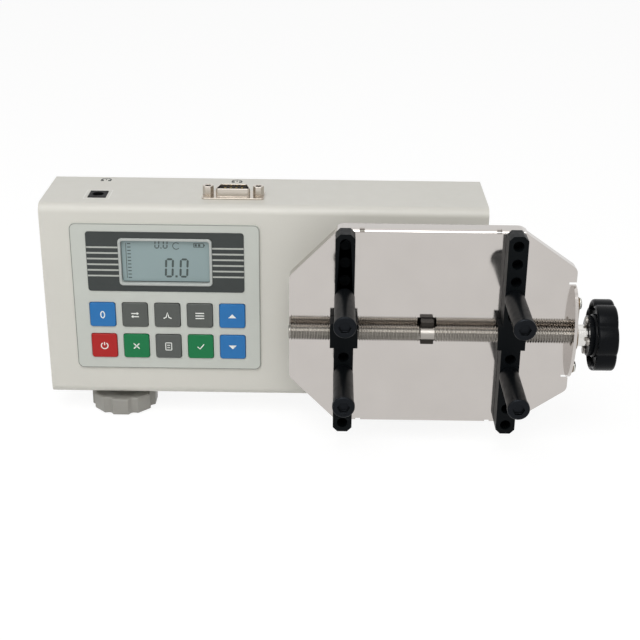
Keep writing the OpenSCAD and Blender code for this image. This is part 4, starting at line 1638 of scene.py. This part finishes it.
@dataclass
class Display:
    """The window frame, the pane and what the liquid crystal shows."""

    shop: Workshop
    frame_edge: float = 0.3
    reading: Numeral = Numeral(4.4, 10.2, 1.05, 7.3, 1.1, 0.6)
    small: Numeral = Numeral(2.4, 4.4, 0.55, 4.1, 0.6, 0.3)
    unit_radius: float = 1.7
    scale_marks: int = 11
    scale_step: float = 0.076
    # Widths and height of the painted shade strips along the window's inner edges
    shade_left: float = 0.8
    shade_foot: float = 1.0
    shade_thin: float = 0.3
    shade_height: float = 0.03

    def build(self) -> None:
        """Dresses the window, draws the reading and paints shade on the pane along the window's
        inner edges.
        """
        self.shop.ease("window_frame", "window_pale", self.frame_edge, 3)
        self.shop.coat("lcd_glass", "screen_ground")
        base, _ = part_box("lcd_glass")
        w, _, h = span("lcd_glass")
        marks = [
            *self.reading.pair(w * 0.52 - 1.75, h * 0.17 - 0.95, 5.9),
            *self.small.pair(w * 0.4 - 0.9, h * 0.74 + 0.9, 3.3),
            *moved(stroke(arc(0, 0, self.unit_radius, 40, 320, 16), 0.4), w * 0.62, h * 0.84),
            *moved(self.battery(), w * 0.84 + 1.2, h * 0.86),
            *self.scale(w, h),
        ]
        self.shop.mark("reading", marks, base, Side.FRONT, "segment_dark")
        # Painted shade: dark strips on the pane where the recessed window's walls shade it, widest
        # at the left and the foot
        thin = self.shade_thin
        shade_strips = [
            bar(self.shade_left / 2, h / 2, self.shade_left, h),
            bar(w / 2, self.shade_foot / 2, w, self.shade_foot),
            bar(w / 2, h - thin / 2, w, thin),
            bar(w - thin / 2, h / 2, thin, h),
        ]
        self.shop.mark(
            "window_seal", shade_strips, base, Side.FRONT, "painted_recess_shade", height=self.shade_height
        )

    def scale(self, w: float, h: float) -> list[Outline]:
        """Draws the load scale at the left: its marks, then its line.

        Args:
            w: the pane's width.
            h: the pane's height.

        Returns:
            Their outlines.
        """
        x = w * 0.1
        marks = [
            bar(x, h * (0.12 + self.scale_step * i), 1.7, 0.5) for i in range(self.scale_marks)
        ]
        return [*marks, bar(x - 1.5, h * 0.5, 0.3, h * 0.78)]

    @staticmethod
    def battery() -> list[Outline]:
        """Draws a small battery about its middle.

        Returns:
            Its outlines.
        """
        case = [bar(0, y, 5.0, 0.35) for y in (0.95, -0.95)]
        case += [bar(x, 0, 0.35, 1.9) for x in (-2.4, 2.4)]
        return [*case, bar(2.85, 0, 0.5, 0.9), *(bar(x, 0, 1.1, 1.2) for x in (-1.4, 0.3))]


@dataclass
class Sockets:
    """The power socket and the serial connector on top."""

    shop: Workshop
    contact_step: float = 2.77
    contact_row: float = 1.42
    sign_y: float = 41.2
    sign_radius: float = 2.4
    sign_line: float = 0.8
    # Gap round the socket, then the width of the painted highlight on the opening's edge
    highlight_gap: float = 0.15
    rim_line: float = 0.35

    def build(self) -> None:
        """Dresses both connectors and prints their signs."""
        for node, finish, width in (
            ("power_socket", "socket_black", 0.25),
            ("serial_shell", "nickel_tin", 0.15),
            ("serial_insert", "socket_black", 0.12),
            ("serial_jackscrews", "nickel_tin", 0.3),
        ):
            self.shop.ease(node, finish, width)
        self.contacts()
        self.rim()
        for name, node in (("power_sign", "power_socket"), ("serial_sign", "serial_shell")):
            self.sign(name, node)

    def contacts(self) -> None:
        """Sets the nine contacts into the insert's face, five over four."""
        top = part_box("serial_insert")[1].z
        middle = centre("serial_shell")
        points = [
            Vector((
                middle.x + (i - (count - 1) / 2) * self.contact_step * MM,
                middle.y + dy * MM,
                top,
            ))
            for count, dy in ((5, -self.contact_row), (4, self.contact_row))
            for i in range(count)
        ]
        profile = [(0.42, -0.4), (0.52, 0.06), (0.46, 0.12), (0.3, 0.1), (0.3, -0.3)]
        self.shop.repeat(
            "serial_contacts", turned(profile, 12, "contact"), points, OUT_TOP, "brass_turned",
            "housing", like="board_spacers",
        )

    def on_top(self, x: float, y: float) -> Vector:
        """A place on the housing's top face."""
        return Vector((x, y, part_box("front_shell")[1].z))

    def rim(self) -> None:
        """Paints a pale highlight on the edge of the sheet's opening round the power socket."""
        w, d, _ = span("power_socket")
        w, d = w + 2 * self.highlight_gap, d + 2 * self.highlight_gap
        outer = soft_bar(w + 2 * self.rim_line, d + 2 * self.rim_line, 0.6)
        middle = centre("power_socket")
        base = self.on_top(middle.x, middle.y)
        self.shop.mark("power_rim", band(outer, soft_bar(w, d, 0.25)), base, Side.TOP, "edge_highlight_paint")

    def sign(self, name: str, node: str) -> None:
        """Prints a plain sign behind a connector.

        Args:
            name: the sign's name.
            node: the connector.
        """
        marks = [
            *stroke(arc(0, 0, self.sign_radius, 0, 180, 16), self.sign_line),
            *(bar(x, -1.2, 1.6, 2.2) for x in (-1.9, 1.9)),
            bar(0, 0.2, 0.6, 1.8),
        ]
        base = self.on_top(centre(node).x, from_corner(0, self.sign_y, 0).y)
        self.shop.mark(name, marks, base, Side.TOP, "ink_dark")


@dataclass
class ClampPlate:
    """The folded polished plate with its spindle, its fork and its fixings."""

    shop: Workshop
    head_d: float = 5.6
    head_t: float = 1.2
    cross: float = 2.9
    cross_depth: float = 0.7
    twist: float = 0.6
    shank_r: float = 1.35
    overlap: float = 0.2

    def build(self) -> None:
        """Dresses the plate and what rides with it."""
        for node, finish, width in (
            ("torque_plate", "plate_polish", 0.12),
            # Painted shade: the saddle is coloured dark for the shade behind the rod
            ("screw_saddle", "saddle_painted_shade", 0.25),
            ("ear_bush", "bush_bronze", 0.1),
            ("spindle", "turned_steel", 0.4),
            ("plate_nuts", "zinc_steel", 0.25),
        ):
            self.shop.ease(node, finish, width)
        self.ear_screws()

    def ear_screws(self) -> None:
        """Sets a domed cross head over each screw in the ear, and its shank through the ear."""
        low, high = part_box("ear_screws")
        y, r = centre("ear_screws").y, (high.y - low.y) / 2
        rows = (low.z + r, high.z - r)
        head = pan_head(self.head_d, self.head_t, self.cross, self.cross_depth, "ear_screw_head")
        seat = high.x - self.head_t * MM
        self.shop.repeat(
            "ear_screw_heads", head, [Vector((seat, y, z)) for z in rows], OUT_RIGHT,
            "zinc_steel", "plate", "ear_screws", twist=self.twist,
        )
        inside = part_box("ear_bush")[0].x
        length = (high.x - inside) / MM - self.head_t
        profile = [(self.shank_r, 0.0), (self.shank_r, length + self.overlap)]
        self.shop.repeat(
            "ear_screw_shanks", turned(profile, 20, "ear_screw_shank"),
            [Vector((inside, y, z)) for z in rows], OUT_RIGHT, "plate_polish", "plate",
            like="ear_screws",
        )


@dataclass
class LeadScrew:
    """The screw with its left-hand and right-hand halves, its neck, collar and knob."""

    shop: Workshop
    pitch: float = 1.25
    diameter: float = 8.0
    sides: int = 28
    outer_chamfer: float = 0.9
    ear_chamfer: float = 0.6
    neck: float = 6.0
    neck_length: float = 6.6
    overlap: float = 0.2
    journal_r: float = 3.99
    journal_tip: float = 0.4
    round_sides: int = 40

    def build(self) -> None:
        """Cuts both threads, turns the plain lengths and dresses the knob's parts."""
        low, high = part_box("lead_screw")
        middle = centre("screw_saddle").x
        half = self.neck_length / 2 * MM
        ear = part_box("torque_plate")[1].x
        self.half(
            "left", low.x, (middle - half - low.x) / MM, Hand.RIGHT, self.outer_chamfer,
            "lead_screw",
        )
        self.half("right", middle + half, (ear - middle - half) / MM, Hand.LEFT, self.ear_chamfer)
        r, reach = self.neck / 2, self.neck_length / 2 + self.overlap
        self.plain("screw_neck", [(r, -reach), (r, reach)], "neck_steel")
        start, end = (ear - self.overlap * MM - middle) / MM, (high.x - middle) / MM
        r, tip = self.journal_r, self.journal_tip
        self.plain("screw_journal", [(r, start), (r, end - tip), (3.6, end)], "collar_steel")
        self.shop.ease("knob_collar", "collar_steel", 0.3)
        self.shop.ease("knob_flange", "knob_black", 0.35, 3)
        self.shop.ease("knob_screws", "neck_steel", 0.2)
        KnobWheel(self.shop).build()

    def half(
        self, side: str, start: float, length: float, hand: Hand, chamfer: float, *stands_for: str
    ) -> None:
        """Cuts one threaded half.

        Args:
            side: left or right.
            start: where its left end lies along X, in metres.
            length: its length in millimetres.
            hand: which way it winds.
            chamfer: how far its ends are turned down, in millimetres.
            stands_for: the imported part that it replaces.
        """
        line, name = centre("lead_screw"), f"screw_{side}_half"
        steel = self.shop.finish["thread_steel"]
        mesh = self.shop.thread.cut(
            name, length, self.diameter, self.pitch, steel, hand, self.sides, chamfer
        )
        settle(mesh, (start, line.y, line.z))
        self.shop.add(name, mesh, "thread_steel", "screw", *stands_for, like="lead_screw")

    def plain(self, name: str, profile: Sequence[Point], finish: str) -> None:
        """Turns one plain length of the screw.

        Args:
            name: the piece's name.
            profile: radius and distance from the torque axis, in millimetres.
            finish: its finish's name.
        """
        line = centre("lead_screw")
        mesh = turned(profile, self.round_sides, name)
        settle(mesh, (centre("screw_saddle").x, line.y, line.z), 90, "Y")
        self.shop.add(name, mesh, finish, "screw", like="lead_screw")


@dataclass
class LobedWheel:
    """A hand wheel with round or flat lobes and soft edges, standing on Z."""

    radius: float
    thickness: float
    lobes: int
    dip: float
    edge: float
    facet: float = 0.0
    sharpness: float = 0.62
    cusp: float = 0.0025
    around: int = 280
    edge_steps: int = 5

    def reach(self, angle: float, inset: float = 0.0) -> float:
        """How far the outline reaches at an angle.

        Args:
            angle: in radians; a lobe's crest is at 0.
            inset: how far inside the outline, in millimetres.

        Returns:
            The radius in millimetres.
        """
        if self.facet > 0:
            return self.faceted(angle) - inset
        wave = math.cos(angle * self.lobes / 2) ** 2
        crest = (wave + self.cusp) ** (self.sharpness / 2)
        return self.radius - self.dip * max(0.0, 1 - crest) - inset

    def faceted(self, angle: float) -> float:
        """The outline of a wheel whose lobes end in flats with a round flute between them.

        Args:
            angle: in radians; a flat's middle is at 0.

        Returns:
            The radius in millimetres.
        """
        half = math.pi / self.lobes
        off = abs((angle + half) % (2 * half) - half)
        if off <= half * self.facet:
            return self.radius * math.cos(half * self.facet) / math.cos(off)
        share = (off / half - self.facet) / (1 - self.facet)
        return self.radius - self.dip * math.sin(share * math.pi / 2)

    def ring(self, inset: float, height: float, flat: float = 0.0) -> list[Vector]:
        """One closed ring of the wheel.

        Args:
            inset: how far inside the outline.
            height: its height along Z.
            flat: 0 keeps the lobes, 1 is a true circle.

        Returns:
            The ring's points in metres.
        """
        points = []
        for i in range(self.around):
            angle = 2 * math.pi * i / self.around
            lobed = self.reach(angle, inset)
            circle = self.radius - self.dip * 0.5 - inset
            r = lobed * (1 - flat) + circle * flat
            points.append(Vector((r * math.cos(angle), r * math.sin(angle), height)) * MM)
        return points

    def circles(self, profile: Sequence[Point]) -> list[list[Vector]]:
        """Round rings of these radii and heights."""
        middle = self.radius - self.dip * 0.5
        return [self.ring(middle - r, height, 1.0) for r, height in profile]

    def rim(self) -> list[list[Vector]]:
        """The rings round the wheel's soft edges.

        Returns:
            The rings from its lower face to its upper one.
        """
        e, t = self.edge, self.thickness
        turns = [math.radians(i * 90 / self.edge_steps) for i in range(self.edge_steps + 1)]
        rows = [self.ring(e * (1 - math.sin(a)), e * (1 - math.cos(a))) for a in turns]
        rows += [self.ring(e * (1 - math.cos(a)), t - e * (1 - math.sin(a))) for a in turns]
        return [*rows, self.ring(e + 0.6, t, 0.1)]


@dataclass
class KnobWheel:
    """The glossy seven-lobed knob with its cored back and its dished cap."""

    shop: Workshop
    radius: float = 17.5
    lobes: int = 7
    dip: float = 1.9
    edge: float = 1.5
    hub: float = 10.0
    core: float = 2.2
    lip: float = 1.9
    dish: float = 10.5
    dish_depth: float = 0.9
    pole: float = 1.2

    def back(self, wheel: LobedWheel) -> list[list[Vector]]:
        """The back's rings: a flat hub for the flange, then a hollow inside a thin lip.

        Args:
            wheel: the knob's wheel.

        Returns:
            The rings from the middle outwards.
        """
        hub, core = self.hub, self.core
        rows = wheel.circles([(self.pole, 0.0), (hub, 0.0), (hub + 0.3, 0.3), (hub + 0.4, core)])
        return [*rows, wheel.ring(self.lip + 0.3, core), wheel.ring(self.lip, 0.4)]

    def cap(self, wheel: LobedWheel) -> list[list[Vector]]:
        """The cap's rings: a shallow dish with a low crown.

        Args:
            wheel: the knob's wheel.

        Returns:
            The rings from the edge to the middle.
        """
        r, t = self.dish, wheel.thickness
        floor = t - self.dish_depth
        return wheel.circles([
            (r + 1.0, t), (r + 0.2, t - 0.05), (r, t - 0.25), (r - 0.2, floor + 0.15),
            (r - 0.6, floor), (r * 0.5, floor + 0.25), (self.pole, floor + 0.3),
        ])

    def build(self) -> None:
        """Makes the knob and sets it on the screw."""
        wheel = LobedWheel(self.radius, span("knob")[0], self.lobes, self.dip, self.edge)
        rows = [*self.back(wheel), *wheel.rim(), *self.cap(wheel)]
        mesh = from_bmesh(rings_to_shape(rows), "knob_wheel", 50.0)
        line = centre("knob_collar")
        settle(mesh, (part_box("knob")[0].x, line.y, line.z), 90, "Y")
        self.shop.add("knob_wheel", mesh, "knob_black", "screw", "knob")


@dataclass
class Jaws:
    """Both drilled bars with their posts and cap screws."""

    shop: Workshop

    def build(self) -> None:
        """Dresses the two jaws."""
        for side in ("left", "right"):
            self.shop.ease(f"{side}_jaw_bar", "jaw_black", 0.45, 3)
            self.shop.ease(f"{side}_posts", "post_black", 0.4, 3)
            self.shop.ease(f"{side}_post_screws", "oxide_black", 0.2)


@dataclass
class Feet:
    """Both levelling feet: lobed hand wheel, threaded stud and pad."""

    shop: Workshop
    radius: float = 17.1
    lobes: int = 8
    dip: float = 1.5
    edge: float = 0.9
    facet: float = 0.6
    around: int = 320
    seat_play: float = 0.15
    groove: float = 0.3
    stud_d: float = 8.0
    stud_pitch: float = 1.25
    stud_sides: int = 24
    stud_chamfer: float = 0.8

    def build(self) -> None:
        """Makes each foot's wheel and thread, and dresses its pad."""
        for side in ("left", "right"):
            self.wheel(side)
            self.stud(side)
            self.shop.ease(f"{side}_foot_pad", "sole_rubber", 0.3)

    def wheel(self, side: str) -> None:
        """Makes one foot's wheel, with a round seat for the pad in its underside.

        Args:
            side: left or right.
        """
        node, pad = f"{side}_foot_knob", f"{side}_foot_pad"
        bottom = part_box(node)[0].z
        wheel = LobedWheel(
            self.radius, span(node)[2], self.lobes, self.dip, self.edge, self.facet,
            around=self.around,
        )
        t = wheel.thickness
        seat = span(pad)[0] / 2 + self.seat_play
        deep = (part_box(pad)[1].z - bottom) / MM + self.seat_play
        low = t - self.groove
        rows = [
            *wheel.circles([(1.2, deep), (seat, deep), (seat, 0.2), (seat + 0.2, 0.0)]),
            *wheel.rim(),
            *wheel.circles([(11.0, t), (10.4, low), (7.6, low), (7.2, t), (4.3, t)]),
        ]
        mesh = from_bmesh(rings_to_shape(rows), f"{side}_foot_wheel", 50.0)
        middle = centre(f"{side}_foot_stud")
        settle(mesh, (middle.x, middle.y, bottom), -90)
        self.shop.add(f"{side}_foot_wheel", mesh, "foot_grey", f"{side}_foot", node)

    def stud(self, side: str) -> None:
        """Cuts the thread of one foot's stud.

        Args:
            side: left or right.
        """
        node, name = f"{side}_foot_stud", f"{side}_foot_thread"
        mesh = self.shop.thread.cut(
            name, span(node)[2], self.stud_d, self.stud_pitch, self.shop.finish["zinc_steel"],
            Hand.RIGHT, self.stud_sides, self.stud_chamfer,
        )
        middle = centre(node)
        settle(mesh, (middle.x, middle.y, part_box(node)[0].z), -90, "Y")
        self.shop.add(name, mesh, "zinc_steel", f"{side}_foot", node)


# Studio


@dataclass(frozen=True)
class Lamp:
    """A square soft lamp that looks at the object."""

    name: str
    place: tuple[float, float, float]
    size: float
    power: float

    def hang(self, aim: Vector) -> None:
        """Hangs the lamp at its place.

        Args:
            aim: what it looks at, in metres, and what its place is measured from.
        """
        light = bpy.data.lights.new(self.name, "AREA")
        light.shape = "SQUARE"
        light.size = self.size
        light.energy = self.power
        lamp = put(self.name, light)
        away = Vector(self.place)
        lamp.location = aim + away
        lamp.rotation_euler = (-away).to_track_quat("-Z", "Y").to_euler()


LAMPS = (
    Lamp("lamp_front", (-0.1, -0.62, 0.78), 0.7, 6.2),
    Lamp("lamp_left", (-1.5, -0.5, 0.8), 1.2, 2.0),
    Lamp("lamp_top", (0.0, 0.35, 1.0), 0.9, 0.5),
)


@dataclass
class Studio:
    """The floor, the white room, the lamps and the camera at the photograph's angle."""

    pitch: float = 23.4055
    yaw: float = -0.4454
    roll: float = 0.5999
    spot: tuple[float, float, float] = (142.65, -579.16, 293.85)
    focal: float = 1251.17
    frame: int = 640
    sensor: float = 36.0
    floor_half: float = 4.0
    floor_tone: tuple[float, float, float, float] = (0.8, 0.8, 0.79, 1.0)
    floor_seen: float = 0.76
    glow: float = 1.15
    sky: float = 0.62
    zenith: float = 0.4

    def build(self) -> None:
        """Sets everything that isn't part of the object."""
        self.floor()
        self.world()
        self.lamps()
        self.camera()
        bpy.context.scene.view_settings.view_transform = "Standard"

    def camera(self) -> None:
        """Puts the camera where the photograph was taken from."""
        a, p, r = (math.radians(v) for v in (self.yaw, self.pitch, self.roll))
        forward = Vector((math.sin(a) * math.cos(p), math.cos(a) * math.cos(p), -math.sin(p)))
        level = Vector((math.cos(a), -math.sin(a), 0.0))
        raised = level.cross(forward)
        across = level * math.cos(r) + raised * math.sin(r)
        upward = raised * math.cos(r) - level * math.sin(r)
        lens = bpy.data.cameras.new("camera")
        lens.sensor_width = self.sensor
        lens.lens = self.focal / self.frame * self.sensor
        lens.clip_start = 0.01
        camera = put("camera", lens)
        camera.matrix_world = Matrix((
            (across.x, upward.x, -forward.x, 0.0),
            (across.y, upward.y, -forward.y, 0.0),
            (across.z, upward.z, -forward.z, 0.0),
            (0.0, 0.0, 0.0, 1.0),
        ))
        camera.location = from_corner(*self.spot)
        bpy.context.scene.camera = camera

    def pale(self) -> bpy.types.Material:
        """Makes the floor's finish: plain for the light, nearly white for the white rays.

        Returns:
            The material.
        """
        finish = Finish("floor_pale")
        finish.fix(Base_Color=self.floor_tone, Roughness=0.9)
        glow = finish.node("ShaderNodeEmission")
        glow.inputs["Color"].default_value = WHITE
        glow.inputs["Strength"].default_value = self.glow
        amount = finish.math("MULTIPLY", finish.white_rays(), self.floor_seen)
        finish.blend(amount, finish.shader, glow, "Material Output")
        return finish.material

    def floor(self) -> None:
        """Lays a wide pale floor under the object."""
        low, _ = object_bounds()
        corners = [(-1, -1), (1, -1), (1, 1), (-1, 1)]
        mesh = bpy.data.meshes.new("floor")
        mesh.from_pydata(
            [(x * self.floor_half, y * self.floor_half, low.z) for x, y in corners],
            [], [(0, 1, 2, 3)],
        )
        stand("floor", mesh, self.pale())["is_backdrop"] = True

    def world(self) -> None:
        """Lights the room from all round, dimmer overhead, and keeps white behind the object."""
        world = bpy.data.worlds.new("room")
        bpy.context.scene.world = world
        world.use_nodes = True
        room = Graph(world.node_tree)
        parts = room.node("ShaderNodeSeparateXYZ")
        room.link(room.node("ShaderNodeTexCoord").outputs["Generated"], parts.inputs[0])
        fade = room.spread(parts.outputs["Z"], 1.0, self.zenith, 0.15, 0.75)
        diffuse = room.node("ShaderNodeLightPath").outputs["Is Diffuse Ray"]
        dimmed = room.spread(diffuse, 1.0, self.sky, 0.0, 1.0)
        lit, seen = room.tree.nodes["Background"], room.node("ShaderNodeBackground")
        for ground in (lit, seen):
            ground.inputs["Color"].default_value = WHITE
        room.link(room.math("MULTIPLY", fade, dimmed), lit.inputs["Strength"])
        seen.inputs["Strength"].default_value = 1.0
        room.blend(room.white_rays(), lit, seen, "World Output")

    def lamps(self) -> None:
        """Hangs the lamps round the object's middle."""
        low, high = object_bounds()
        for lamp in LAMPS:
            lamp.hang((low + high) / 2)


def main() -> None:
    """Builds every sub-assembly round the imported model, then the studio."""
    logging.basicConfig(level=logging.INFO, format="%(name)s: %(message)s")
    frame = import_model()
    shop = Workshop(frame)
    for part in (
        Housing(shop), Keypad(shop), Display(shop), Sockets(shop),
        ClampPlate(shop), LeadScrew(shop), Jaws(shop), Feet(shop),
    ):
        LOG.info("building %s", type(part).__name__)
        part.build()
    Studio().build()


if __name__ == "__main__":
    main()
